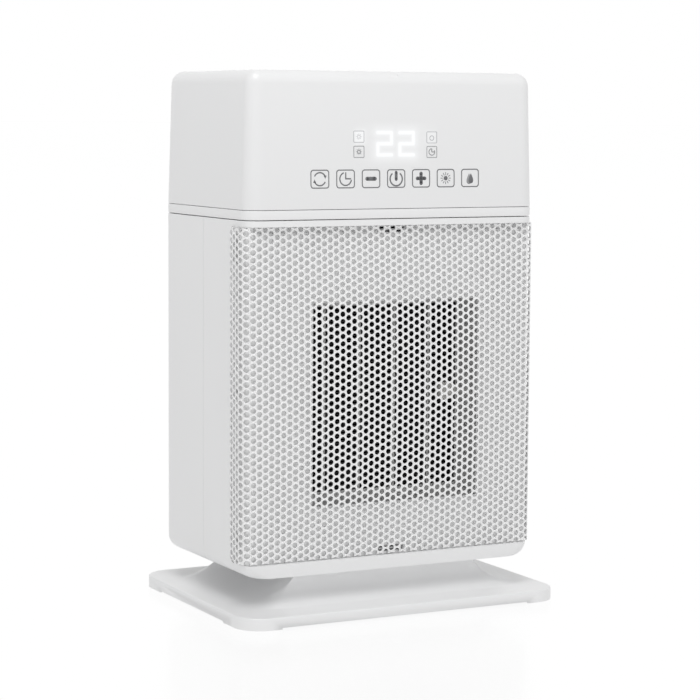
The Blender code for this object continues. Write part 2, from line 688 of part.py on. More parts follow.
def front_grille(heater_axis):
    """Perforated sheet as a plain bent sheet with two hooked-in tabs."""
    outer_r, inner_r = GRILLE_BEND_R, GRILLE_BEND_R - GRILLE_THICKNESS
    wide, thin = GRILLE_HALF_WIDTH, GRILLE_THICKNESS
    outer = rounded_outline((-wide, FRONT_Y), (wide, 0.1), (0.001, 0.001, outer_r, outer_r))
    inner = rounded_outline((-wide + thin, FRONT_Y + thin), (wide - thin, 0.1),
                            (0.001, 0.001, inner_r, inner_r))
    outline = [(-wide, GRILLE_EDGE_Y)] + [p for p in outer if p[1] < GRILLE_EDGE_Y]
    outline += [(wide, GRILLE_EDGE_Y), (wide - thin, GRILLE_EDGE_Y)]
    outline += [p for p in inner if p[1] < GRILLE_EDGE_Y][::-1] + [(-wide + thin, GRILLE_EDGE_Y)]
    sheet = piece("front_grille", prism(outline, "Z", *GRILLE_Z), WHITE_STEEL, heater_axis)
    half_x, half_z = TAB_HALF_SIZE
    for z in TAB_Z:
        join(sheet, box((-half_x, FRONT_Y + thin / 2, z - half_z), (half_x, TAB_TIP_Y, z + half_z)))


# ---------------------------------------------------------------- heating channel

def air_duct(heater_axis):
    """Rectangular channel from the fan to the opening in the face."""
    low = (CHANNEL_X - CHANNEL_HALF_WIDTH, CHANNEL_Z[0])
    high = (CHANNEL_X + CHANNEL_HALF_WIDTH, CHANNEL_Z[1])
    outer = rectangle([u - DUCT_WALL for u in low], [u + DUCT_WALL for u in high])
    piece("air_duct", frame_prism(outer, rectangle(low, high), "Y", *DUCT_Y), WHITE_PLASTIC, heater_axis)


def heating_element(heater_axis):
    """Frame, upright ceramic heating bars, and folded fin packs between them."""
    half = CHANNEL_HALF_WIDTH - GAP
    frame_low = (CHANNEL_X - half, CHANNEL_Z[0] + GAP)
    frame_high = (CHANNEL_X + half, CHANNEL_Z[1] - GAP)
    inner_half = half - FRAME_SIDE
    inner_low = (CHANNEL_X - inner_half, ELEMENT_Z[0])
    inner_high = (CHANNEL_X + inner_half, ELEMENT_Z[1])
    piece("ptc_frame", frame_prism(rectangle(frame_low, frame_high), rectangle(inner_low, inner_high), "Y",
                                   *ELEMENT_Y), WHITE_PLASTIC, heater_axis)
    low_z, high_z = ELEMENT_Z[0] + GAP, ELEMENT_Z[1] - GAP
    bars = [CHANNEL_X + (i - (BAR_COUNT - 1) / 2) * BAR_SPACING for i in range(BAR_COUNT)]
    for number, x in enumerate(bars, 1):
        bar = box((x - BAR_WIDTH / 2, ELEMENT_Y[0] + ELEMENT_MARGIN, low_z),
                  (x + BAR_WIDTH / 2, ELEMENT_Y[1] - ELEMENT_MARGIN, high_z))
        piece(f"ptc_bar_{number}", bar, CERAMIC, heater_axis, smooth=False)
    edges = [inner_low[0]] + [side for x in bars for side in (x - BAR_WIDTH / 2, x + BAR_WIDTH / 2)]
    edges.append(inner_high[0])
    for number in range(BAR_COUNT + 1):
        pack = fin_pack(edges[2 * number] + GAP, edges[2 * number + 1] - GAP, low_z, high_z)
        piece(f"fin_pack_{number + 1}", pack, ALUMINIUM, heater_axis, smooth=False)


def fin_pack(left, right, low_z, high_z):
    """Strip folded to and fro between two bars."""
    half = FIN_THICKNESS / 2
    path = []
    for level in range(FIN_LEVELS):
        z = low_z + half + (high_z - low_z - FIN_THICKNESS) * level / (FIN_LEVELS - 1)
        ends = (left + half, right - half) if level % 2 == 0 else (right - half, left + half)
        path += [(ends[0], z), (ends[1], z)]
    path[0] = (left, path[0][1])
    path[-1] = (right if FIN_LEVELS % 2 else left, path[-1][1])
    return prism(ribbon(path, FIN_THICKNESS), "Y", ELEMENT_Y[0] + ELEMENT_MARGIN,
                 ELEMENT_Y[1] - ELEMENT_MARGIN)


def heat_guards(heater_axis):
    """One-shot fuse in front of the fins, and the resetting cut-out on top of the channel."""
    fuse = piece("thermal_fuse", box(FUSE_LOW, FUSE_HIGH), CERAMIC, heater_axis)
    wall_x = CHANNEL_X + CHANNEL_HALF_WIDTH - GAP
    join(fuse, box((FUSE_HIGH[0] - 0.0005, FUSE_LEAD_Y[0], FUSE_LEAD_Z[0]),
                   (wall_x, FUSE_LEAD_Y[1], FUSE_LEAD_Z[1])))
    low_z = CHANNEL_Z[1] + DUCT_WALL + GAP
    top_z = low_z + CUTOUT_HEIGHT
    cutout = piece("thermal_cutout", rod((CHANNEL_X, CUTOUT_Y), CUTOUT_R, "Z", low_z, top_z),
                   BLACK_PLASTIC, heater_axis)
    reach, half_y, thick = CUTOUT_TERMINAL
    join(cutout, box((CHANNEL_X - reach, CUTOUT_Y - half_y, top_z - 0.0010),
                     (CHANNEL_X + reach, CUTOUT_Y + half_y, top_z - 0.0010 + thick)))


# ---------------------------------------------------------------- fan

def fan_blade(number):
    """Twisted blade as a closed slab; pitch falls from root to tip."""
    radial_steps, chord_steps = 4, 4
    mid_y = (FAN_Y[0] + FAN_Y[1]) / 2
    root_r = FAN_HUB_R - 0.002
    sides = []
    for lift in (BLADE_THICKNESS / 2, -BLADE_THICKNESS / 2):
        for i in range(radial_steps + 1):
            share = i / radial_steps
            radius = root_r + (FAN_TIP_R - root_r) * share
            chord = math.radians(BLADE_CHORD[0] - BLADE_CHORD[1] * share)
            depth = BLADE_DEPTH[0] - BLADE_DEPTH[1] * share
            row = []
            for j in range(chord_steps + 1):
                across = j / chord_steps - 0.5
                angle = number * math.tau / FAN_BLADES + BLADE_SWEEP * share + chord * across
                camber = BLADE_CAMBER * (1 - 4 * across ** 2)
                row.append((CHANNEL_X + radius * math.cos(angle), mid_y + depth * across - camber + lift,
                            CHANNEL_MID_Z + radius * math.sin(angle)))
            sides.append(row)
    upper, lower = sides[:radial_steps + 1], sides[radial_steps + 1:]
    return loft([u + d[::-1] for u, d in zip(upper, lower)])


def fan(heater_axis, fan_axis):
    """Axial rotor on its shaft, the ring and spokes round it, and the motor behind."""
    centre = (CHANNEL_X, CHANNEL_MID_Z)
    rotor = piece("fan_rotor", rod(centre, FAN_HUB_R, "Y", *FAN_Y, 28), GREY_PLASTIC, fan_axis)
    join(rotor, merge(*[fan_blade(n) for n in range(FAN_BLADES)]))
    cut(rotor, rod(centre, SHAFT_R + SHAFT_CLEARANCE, "Y", FAN_Y[0] + 0.002, FAN_Y[1] + 0.01, 20))
    piece("fan_shaft", rod(centre, SHAFT_R, "Y", FAN_Y[0] + 0.0025, SHAFT_END_Y, 20), ZINC, fan_axis)

    half = CHANNEL_HALF_WIDTH + DUCT_WALL
    square = rectangle((centre[0] - half, CHANNEL_Z[0] - DUCT_WALL),
                       (centre[0] + half, CHANNEL_Z[1] + DUCT_WALL))
    plate = prism(square, "Y", SHROUD_Y[0], SHROUD_Y[0] + SHROUD_PLATE_T)
    shroud = piece("fan_shroud", plate, WHITE_PLASTIC, heater_axis)
    join(shroud, rod(centre, SHROUD_R[1], "Y", SHROUD_Y[0] + 0.001, SHROUD_Y[1], 40))
    cut(shroud, rod(centre, SHROUD_R[0], "Y", -0.03, 0.03, 40))
    arm_y = (SHROUD_Y[1] - SPOKE_DEPTH, SHROUD_Y[1])
    reach = SHROUD_R[0] + 0.001
    for half_x, half_z in ((reach, SPOKE_HALF_WIDTH), (SPOKE_HALF_WIDTH, reach)):
        join(shroud, box((centre[0] - half_x, arm_y[0], centre[1] - half_z),
                         (centre[0] + half_x, arm_y[1], centre[1] + half_z)))
    join(shroud, rod(centre, FAN_MOTOR_R - 0.002, "Y", *arm_y, 28))
    cut(shroud, rod(centre, SPOKE_BORE_R, "Y", 0.0, 0.03, 20))

    can = rod(centre, FAN_MOTOR_R, "Y", SHROUD_Y[1] + GAP, FAN_MOTOR_Y[1], 28)
    motor = piece("fan_motor", can, ZINC, heater_axis)
    boss_end = FAN_MOTOR_Y[1] + MOTOR_BOSS_HEIGHT
    join(motor, rod(centre, MOTOR_BOSS_R, "Y", FAN_MOTOR_Y[1] - 0.001, boss_end, 20))
    cut(motor, rod(centre, SHAFT_R + SHAFT_CLEARANCE, "Y", 0.0, SHAFT_END_Y + 0.0005, 20))


# ---------------------------------------------------------------- rear fittings

def rear_grille(cover_axis):
    """Pull-off intake cover with rows of slots and a finger notch, and the dust filter inside its rim."""
    wide = INTAKE_HALF_WIDTH - COVER_GAP
    low_z, high_z = INTAKE_Z[0] + COVER_GAP, INTAKE_Z[1] - COVER_GAP
    rim, inner_y = COVER_RIM, REAR_Y - COVER_SKIN
    back = INTAKE_SEAT_Y + GAP
    outline = rounded_outline((-wide, low_z), (wide, high_z), (0.0006,) * 4, 1)
    cover = piece("rear_grille", prism(outline, "Y", back, REAR_Y), WHITE_PLASTIC, cover_axis)
    cut(cover, box((-wide + rim, 0.06, low_z + rim), (wide - rim, inner_y, high_z - rim)))
    slot_width = (2 * (wide - SLOT_MARGIN) - SLOT_WEB * (SLOT_COLUMNS - 1)) / SLOT_COLUMNS
    row_step = (high_z - low_z - 2 * SLOT_MARGIN - SLOT_HEIGHT) / (SLOT_ROWS - 1)
    slots = []
    for row in range(SLOT_ROWS):
        z = low_z + SLOT_MARGIN + row * row_step
        for column in range(SLOT_COLUMNS):
            x = -wide + SLOT_MARGIN + column * (slot_width + SLOT_WEB)
            slots.append(box((x, 0.06, z), (x + slot_width, 0.08, z + SLOT_HEIGHT)))
    cut(cover, merge(*slots))
    cut(cover, rod((0.0, high_z + 0.0030), FINGER_NOTCH_R, "Y", REAR_Y - 0.0010, 0.08, 24))
    inset = rim + GAP
    pad = box((-wide + inset, back + 0.0001, low_z + inset), (wide - inset, inner_y - GAP, high_z - inset))
    piece("dust_filter", pad, FILTER_GREY, cover_axis, smooth=False)


def mains_switch(heater_axis, rocker_axis):
    """Rear rocker switch and the cord's gland."""
    x, z = SWITCH_XZ
    half_x, half_z = SWITCH_HALF
    body = box((x - half_x, SWITCH_Y[0], z - half_z), (x + half_x, SWITCH_Y[1], z + half_z))
    case = piece("mains_switch", body, BLACK_PLASTIC, heater_axis)
    rim_x, rim_z = SWITCH_RIM_HALF
    join(case, box((x - rim_x, REAR_Y + GAP, z - rim_z), (x + rim_x, REAR_Y + 0.0015, z + rim_z)))
    pocket_x, pocket_z = SWITCH_POCKET_HALF
    cut(case, box((x - pocket_x, SWITCH_POCKET_Y, z - pocket_z), (x + pocket_x, 0.09, z + pocket_z)))

    profile = [(-0.0030, -0.0030), (0.0025, -0.0036), (0.0036, -0.0034), (0.0028, 0.0),
               (0.0036, 0.0034), (0.0025, 0.0036), (-0.0030, 0.0030)]
    turned = []
    for out, across in profile:
        height = across * math.cos(ROCKER_TILT) + out * math.sin(ROCKER_TILT)
        depth = out * math.cos(ROCKER_TILT) - across * math.sin(ROCKER_TILT)
        turned.append((ROCKER_PIVOT_Y + depth, z + height))
    rocker = prism(turned, "X", x - ROCKER_HALF_WIDTH, x + ROCKER_HALF_WIDTH)
    piece("switch_rocker", rocker, BLACK_PLASTIC, rocker_axis, smooth=False)

    gx, gz = GLAND_XZ
    levels = [(0.0036, 0.0665), (0.0058, 0.0665), (0.0058, REAR_Y + GAP), (0.0088, REAR_Y + GAP),
              (0.0088, REAR_Y + 0.0022), (0.0075, REAR_Y + 0.0032), (0.0036, REAR_Y + 0.0032)]
    loops = [[placed(p, "Y", y) for p in circle_outline((gx, gz), r, 24)] for r, y in levels]
    piece("cord_gland", loft(loops, ring=True), BLACK_PLASTIC, heater_axis)


def tilt_switch(heater_axis):
    """Tip-over switch, a capsule on the body's floor."""
    low = FLOOR_Z + GAP
    capsule = piece("tilt_switch", rod(TILT_XY, TILT_R, "Z", low, low + TILT_HEIGHT, 20), BLACK_PLASTIC,
                    heater_axis)
    half_x, half_y, thick = TILT_FOOT
    join(capsule, box((TILT_XY[0] - half_x, TILT_XY[1] - half_y, low),
                      (TILT_XY[0] + half_x, TILT_XY[1] + half_y, low + thick)))


# ---------------------------------------------------------------- head

def head_loops(offset):
    """Head sections from its rim up: drafted sides, then the rounded top edge."""
    top, radius = HEAD_TOP_Z - offset, HEAD_FILLET_R - offset
    levels = [(HEAD_BOTTOM_Z, 0.0)]
    for i in range(CORNER_STEPS + 1):
        angle = math.pi / 2 * i / CORNER_STEPS
        levels.append((top - radius * (1 - math.sin(angle)), radius * (1 - math.cos(angle))))
    loops = []
    for z, inset in levels:
        draft = math.tan(HEAD_DRAFT) * (z - HEAD_BOTTOM_Z)
        loops.append([placed(p, "Z", z) for p in plan_outline(offset + draft + inset)])
    return loops


def head_shell(heater_axis):
    """Trim band, inner tray and the head's cover with its tank bay and mist outlet."""
    band = frame_prism(plan_outline(0.0), plan_outline(BAND_THICKNESS), "Z", BAND_BOTTOM_Z, BAND_TOP_Z)
    piece("trim_band", band, WHITE_PLASTIC, heater_axis)
    plate = prism(plan_outline(BAND_THICKNESS + GAP), "Z", TRAY_BOTTOM_Z, TRAY_TOP_Z)
    tray = piece("head_tray", plate, GREY_PLASTIC, heater_axis)
    cut(tray, box((*WIRE_SLOT[0], 0.2), (*WIRE_SLOT[1], 0.3)))

    cover = piece("top_cover", loft(head_loops(0.0)[::-1] + head_loops(WALL)), WHITE_PLASTIC, heater_axis)
    bay = GAP + 0.0001
    cut(cover, box((-TANK_HALF_WIDTH - bay, 0.0600, TANK_BODY_Z[0] - bay),
                   (TANK_HALF_WIDTH + bay, 0.1, TANK_PANEL_TOP_Z + bay)))
    cut(cover, rod(NOZZLE_XY, NOZZLE_R + GAP, "Z", 0.31, 0.34, 28))


def mist_unit(heater_axis):
    """Mist chamber with its ultrasonic disc, and the slotted outlet in the head's top."""
    x, y = NOZZLE_XY
    half_x, half_y = CHAMBER_HALF
    wall, floor_z = CHAMBER_WALL, HEAD_BOTTOM_Z + CHAMBER_WALL
    body = box((x - half_x, y - half_y, HEAD_BOTTOM_Z), (x + half_x, y + half_y, CHAMBER_TOP_Z))
    chamber = piece("mist_chamber", body, SMOKE_PLASTIC, heater_axis)
    cut(chamber, box((x - half_x + wall, y - half_y + wall, floor_z),
                     (x + half_x - wall, y + half_y - wall, 0.4)))
    disc_z = floor_z + GAP
    piece("mist_transducer", rod(NOZZLE_XY, DISC_R, "Z", disc_z, disc_z + DISC_HEIGHT), ZINC, heater_axis)
    nozzle = piece("mist_outlet", rod(NOZZLE_XY, NOZZLE_R, "Z", *NOZZLE_Z, 28), WHITE_PLASTIC, heater_axis)
    half_slot = NOZZLE_SLOT_HALF_WIDTH
    slots = [box((x - reach, y + offset - half_slot, 0.3), (x + reach, y + offset + half_slot, 0.4))
             for offset, reach in NOZZLE_SLOTS]
    cut(nozzle, merge(*slots))


def water_tank(tank_axis, cap_axis):
    """Tank that pulls out of the head's rear, its outer panel flush with the cover, and its filler cap."""
    wide, (low_z, high_z) = TANK_HALF_WIDTH, TANK_BODY_Z
    wall = TANK_WALL
    body = box((-wide, TANK_FRONT_Y, low_z), (wide, 0.0900, high_z))
    tank = piece("water_tank", body, SMOKE_PLASTIC, tank_axis)
    join(tank, box((-wide, TANK_PANEL_Y, low_z + 0.01), (wide, 0.0900, TANK_PANEL_TOP_Z)))
    boolean(tank, "INTERSECT", loft(head_loops(0.0)))
    inside = cut(tank, box((-wide + wall, TANK_FRONT_Y + wall, low_z + wall),
                           (wide - wall, TANK_PANEL_Y + 0.0020, high_z - wall)))
    cut(inside, box((-GRIP_HALF_WIDTH - wall, GRIP_Y - wall, GRIP_Z[0] - wall),
                    (GRIP_HALF_WIDTH + wall, 0.1, 0.4)))
    cut(tank, box((-GRIP_HALF_WIDTH, GRIP_Y, GRIP_Z[0]), (GRIP_HALF_WIDTH, 0.1, GRIP_Z[1])))
    cut(tank, rod((0.0, CAP_Y), NECK_BORE_R, "Z", 0.3050, 0.3200, 24))

    cap = piece("tank_cap", rod((0.0, CAP_Y), CAP_R, "Z", high_z + GAP, CAP_TOP_Z, 28), WHITE_PLASTIC, cap_axis)
    join(cap, rod((0.0, CAP_Y), NECK_BORE_R - GAP, "Z", 0.3075, high_z + 0.001, 24))
    half_x, half_y, height = CAP_GRIP
    join(cap, box((-half_x, CAP_Y - half_y, CAP_TOP_Z - 0.001), (half_x, CAP_Y + half_y, CAP_TOP_Z + height)))


def electronics(heater_axis):
    """Display and touch board behind the cover's front, and the power board with its relay."""
    board = piece("display_board", box(BOARD_LOW, BOARD_HIGH), BOARD_GREEN, heater_axis, smooth=False)
    holes = [rod((x, z), SCREW_R, "Y", -0.06, -0.04, 12)
             for x in (-BOARD_HOLES_X, BOARD_HOLES_X) for z in BOARD_HOLES_Z]
    cut(board, merge(*holes))
    piece("display_module", box(MODULE_LOW, MODULE_HIGH), BLACK_PLASTIC, heater_axis, smooth=False)
    piece("main_board", box(POWER_BOARD_LOW, POWER_BOARD_HIGH), BOARD_GREEN, heater_axis, smooth=False)
    piece("relay", box(RELAY_LOW, RELAY_HIGH), BLACK_PLASTIC, heater_axis, smooth=False)


def main():
    """Build every piece, the fixed base first."""
    clear_scene()
    heater_axis = joint_axis("swivel_axis", (0.0, 0.0, NECK_Z))
    pinion_axis = joint_axis("pinion_axis", (PINION_X, 0.0, GEAR_Z[0]))
    fan_axis = joint_axis("fan_axis", (CHANNEL_X, 0.0, CHANNEL_MID_Z), heater_axis)
    cover_axis = joint_axis("intake_cover_slide", (0.0, REAR_Y, INTAKE_Z[0]), heater_axis)
    rocker_axis = joint_axis("rocker_axis", (SWITCH_XZ[0], ROCKER_PIVOT_Y, SWITCH_XZ[1]), heater_axis)
    tank_axis = joint_axis("tank_slide", (0.0, REAR_Y, TANK_BODY_Z[0]), heater_axis)
    cap_axis = joint_axis("cap_axis", (0.0, CAP_Y, TANK_BODY_Z[1]), tank_axis)

    base_shell()
    base_underside()
    swivel(heater_axis, pinion_axis)
    front_housing(heater_axis)
    rear_housing(heater_axis)
    housing_screws(heater_axis)
    front_grille(heater_axis)
    air_duct(heater_axis)
    heating_element(heater_axis)
    heat_guards(heater_axis)
    fan(heater_axis, fan_axis)
    rear_grille(cover_axis)
    mains_switch(heater_axis, rocker_axis)
    tilt_switch(heater_axis)
    head_shell(heater_axis)
    mist_unit(heater_axis)
    water_tank(tank_axis, cap_axis)
    electronics(heater_axis)


main()
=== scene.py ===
"""Looks of a white ceramic fan heater with a perforated front, a touch display and a swivelling foot.

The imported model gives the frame: its nodes, bodies and boxes. Each sub-assembly below is a class that
replaces the plain solids with finer surfaces, or dresses the ones whose shape is already right. Metres,
+Z up, the front faces -Y.
"""

import logging
import math
from dataclasses import dataclass
from enum import Enum
from typing import Callable, Dict, List, Sequence, Tuple

import bpy
import numpy as np
from mathutils import Matrix, Vector


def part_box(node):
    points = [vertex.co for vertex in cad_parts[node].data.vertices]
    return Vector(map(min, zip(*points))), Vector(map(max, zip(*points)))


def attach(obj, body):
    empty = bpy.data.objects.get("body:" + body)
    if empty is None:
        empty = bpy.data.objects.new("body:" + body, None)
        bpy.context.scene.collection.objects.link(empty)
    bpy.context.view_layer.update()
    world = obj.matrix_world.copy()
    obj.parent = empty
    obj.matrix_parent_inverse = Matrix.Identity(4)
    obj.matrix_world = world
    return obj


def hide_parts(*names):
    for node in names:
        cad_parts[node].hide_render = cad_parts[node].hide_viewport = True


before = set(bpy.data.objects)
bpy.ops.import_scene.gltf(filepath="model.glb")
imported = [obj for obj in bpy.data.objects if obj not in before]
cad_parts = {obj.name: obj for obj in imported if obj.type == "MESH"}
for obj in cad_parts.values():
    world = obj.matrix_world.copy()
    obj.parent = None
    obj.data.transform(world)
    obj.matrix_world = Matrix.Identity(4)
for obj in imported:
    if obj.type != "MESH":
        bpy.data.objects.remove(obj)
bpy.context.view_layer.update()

log = logging.getLogger("heater")

Array = np.ndarray
Point = Sequence[float]
Socket = bpy.types.NodeSocket


# ---- Shapes: outlines and lofts, worked out as arrays

class Axis(Enum):
    """The axis that an outline is carried along; its own two run in X, Y, Z order."""

    X = 0
    Y = 1
    Z = 2


def rounded_rect(low: Point, high: Point, radii: Sequence[float], steps: int = 12) -> Array:
    """Rectangle with an arc at each corner, counter-clockwise from the +u +v corner.

    Each corner's points are its arc centre plus radius times (cos t, sin t), for t over that quarter.

    Args:
        low: lowest u and v.
        high: highest u and v.
        radii: the four corner radii, from +u +v round to +u -v.
        steps: facets of each corner.

    Returns:
        The points, as an array of n rows by 2.
    """
    corners = np.array([[high[0], high[1]], [low[0], high[1]], [low[0], low[1]], [high[0], low[1]]], float)
    inwards = np.array([[-1, -1], [1, -1], [1, 1], [-1, 1]], float)
    radius = np.asarray(radii, float)[:, None]
    centres = corners + inwards * radius
    turn = np.arange(4)[:, None] * np.pi / 2 + np.linspace(0, np.pi / 2, steps + 1)[None, :]
    ring = np.stack([np.cos(turn), np.sin(turn)], axis=-1)
    return (centres[:, None, :] + radius[:, :, None] * ring).reshape(-1, 2)


def circle(centre: Point, radius: float, count: int = 48) -> Array:
    """Circle of count points, half a step off the axes: centre plus radius times (cos t, sin t)."""
    turn = (np.arange(count) + 0.5) * 2 * np.pi / count
    return np.asarray(centre, float) + radius * np.stack([np.cos(turn), np.sin(turn)], axis=-1)


def rectangle(low: Point, high: Point) -> Array:
    """Four corners of a rectangle, counter-clockwise."""
    return np.array([[high[0], high[1]], [low[0], high[1]], [low[0], low[1]], [high[0], low[1]]], float)


def lay(outline: Array, axis: Axis, level: float) -> Array:
    """Flat points at one level along an axis: the level goes in as that axis's column."""
    return np.insert(outline, axis.value, level, axis=1)


def layers(outlines: Sequence[Array], levels: Sequence[float], axis: Axis) -> Array:
    """Stack of outlines of equal length, one for each level."""
    return np.stack([lay(outline, axis, level) for outline, level in zip(outlines, levels)])


def triangles_of(group: Array) -> Array:
    """Fan of triangles for a group of faces that have the same number of corners."""
    first = np.repeat(group[:, :1], group.shape[1] - 2, axis=1)
    return np.stack([first, group[:, 1:-1], group[:, 2:]], axis=-1).reshape(-1, 3)


def signed_volume(vertices: Array, groups: Sequence[Array]) -> float:
    """Sum of a . (b x c) / 6 over all triangles, which is positive where faces point outwards."""
    corners = vertices[np.concatenate([triangles_of(group) for group in groups])]
    return float(np.einsum("ij,ij->i", corners[:, 0], np.cross(corners[:, 1], corners[:, 2])).sum() / 6)


def surface(name: str, vertices: Array, groups: Sequence[Array], closed: bool = True,
            crease: float = 32.0) -> bpy.types.Object:
    """A new mesh object from arrays.

    Args:
        name: the object's name.
        vertices: n rows by 3.
        groups: arrays of faces, one array for each number of corners.
        closed: whether the surface encloses a volume, so that its faces are turned outwards.
        crease: the angle in degrees above which an edge is shaded sharp.

    Returns:
        The linked object.
    """
    groups = [np.asarray(group, np.int64) for group in groups if len(group)]
    if closed and signed_volume(vertices, groups) < 0:
        groups = [group[:, ::-1] for group in groups]
    mesh = bpy.data.meshes.new(name)
    mesh.vertices.add(len(vertices))
    mesh.vertices.foreach_set("co", np.ascontiguousarray(vertices, np.float32).ravel())
    loops = np.concatenate([group.ravel() for group in groups]).astype(np.int32)
    totals = np.concatenate([np.full(len(group), group.shape[1]) for group in groups]).astype(np.int32)
    starts = np.concatenate([[0], np.cumsum(totals)[:-1]]).astype(np.int32)
    mesh.loops.add(len(loops))
    mesh.loops.foreach_set("vertex_index", loops)
    mesh.polygons.add(len(totals))
    mesh.polygons.foreach_set("loop_start", starts)
    mesh.polygons.foreach_set("loop_total", totals)
    mesh.update(calc_edges=True)
    mesh.validate()
    mesh.shade_smooth()
    mesh.set_sharp_from_angle(angle=math.radians(crease))
    piece = bpy.data.objects.new(name, mesh)
    bpy.context.scene.collection.objects.link(piece)
    return piece


def grid_faces(grid: Array, around: bool) -> Array:
    """Quads between neighbouring rows of a grid of vertex numbers, wrapped round if asked."""
    turned = np.roll(grid, -1, axis=1)
    quads = np.stack([grid[:-1], turned[:-1], turned[1:], grid[1:]], axis=-1)
    if not around:
        quads = quads[:, :-1]
    return quads.reshape(-1, 4)


def loft(name: str, rows: Array, ring: bool = False, crease: float = 32.0) -> bpy.types.Object:
    """Closed skin through a stack of closed outlines.

    Args:
        name: the object's name.
        rows: outlines by points by 3.
        ring: whether the last outline joins the first, instead of both being capped.
        crease: the angle in degrees above which an edge is shaded sharp.

    Returns:
        The object.
    """
    count, points = rows.shape[:2]
    grid = np.arange(count * points).reshape(count, points)
    if ring:
        groups = [grid_faces(np.vstack([grid, grid[:1]]), True)]
    else:
        groups = [grid_faces(grid, True), np.stack([grid[0][::-1], grid[-1]])]
    return surface(name, rows.reshape(-1, 3), groups, crease=crease)


def block(name: str, low: Point, high: Point) -> bpy.types.Object:
    """Block between two corners."""
    return loft(name, layers([rectangle(low, high)] * 2, (low[2], high[2]), Axis.Z))


def rod(name: str, centre: Point, radius: float, axis: Axis, low: float, high: float,
        count: int = 48) -> bpy.types.Object:
    """Cylinder along an axis; centre is its place across that axis."""
    return loft(name, layers([circle(centre, radius, count)] * 2, (low, high), axis))


def turned(name: str, centre: Point, profile: Sequence[Tuple[float, float]], axis: Axis, ring: bool = False,
           count: int = 48) -> bpy.types.Object:
    """Turned piece: circles of the profile's radii at its levels along an axis."""
    outlines = [circle(centre, radius, count) for radius, _ in profile]
    return loft(name, layers(outlines, [level for _, level in profile], axis), ring)


def strip(name: str, path: Array, thickness: float, axis: Axis, low: float, high: float) -> bpy.types.Object:
    """Flat strip that follows an open path, closed all round.

    Each path point gives two points, half the thickness to either side along the mean of its two
    segments' normals, lengthened so that the thickness stays the same round a corner.

    Args:
        name: the object's name.
        path: n rows by 2, across the axis.
        thickness: the strip's thickness.
        axis: the axis that its width lies along.
        low: where its width starts.
        high: where its width ends.

    Returns:
        The object.
    """
    steps = np.diff(path, axis=0)
    steps /= np.linalg.norm(steps, axis=1, keepdims=True)
    normals = np.stack([-steps[:, 1], steps[:, 0]], axis=1)
    before, after = np.vstack([normals[:1], normals]), np.vstack([normals, normals[-1:]])
    mean = before + after
    mean /= np.linalg.norm(mean, axis=1, keepdims=True)
    offset = mean * (thickness / 2 / np.einsum("ij,ij->i", mean, before))[:, None]
    left, right = path + offset, path - offset
    sides = ((left, low), (left, high), (right, high), (right, low))
    rows = np.stack([lay(outline, axis, level) for outline, level in sides])
    return loft(name, rows.transpose(1, 0, 2))


def settle(piece: bpy.types.Object) -> bpy.types.Object:
    """Apply every modifier, so that the piece is a plain mesh."""
    bpy.context.view_layer.update()
    evaluated = piece.evaluated_get(bpy.context.evaluated_depsgraph_get())
    mesh = bpy.data.meshes.new_from_object(evaluated)
    old = piece.data
    piece.modifiers.clear()
    piece.data = mesh
    mesh.name = piece.name
    bpy.data.meshes.remove(old)
    return piece


def combine(piece: bpy.types.Object, operation: str, others: Sequence[bpy.types.Object]) -> bpy.types.Object:
    """Cut shapes from a piece, or join them on, and remove them."""
    for other in others:
        modifier = piece.modifiers.new("combine", "BOOLEAN")
        modifier.operation = operation
        modifier.solver = "EXACT"
        modifier.object = other
        settle(piece)
        mesh = other.data
        bpy.data.objects.remove(other, do_unlink=True)
        bpy.data.meshes.remove(mesh)
    return piece


def soften(piece: bpy.types.Object, width: float, segments: int = 2, angle: float = 34.0) -> bpy.types.Object:
    """Round every edge sharper than an angle in degrees, and apply it."""
    modifier = piece.modifiers.new("soften", "BEVEL")
    modifier.width = width
    modifier.segments = segments
    modifier.limit_method = "ANGLE"
    modifier.angle_limit = math.radians(angle)
    modifier.use_clamp_overlap = True
    modifier.harden_normals = True
    return settle(piece)


# ---- Finishes

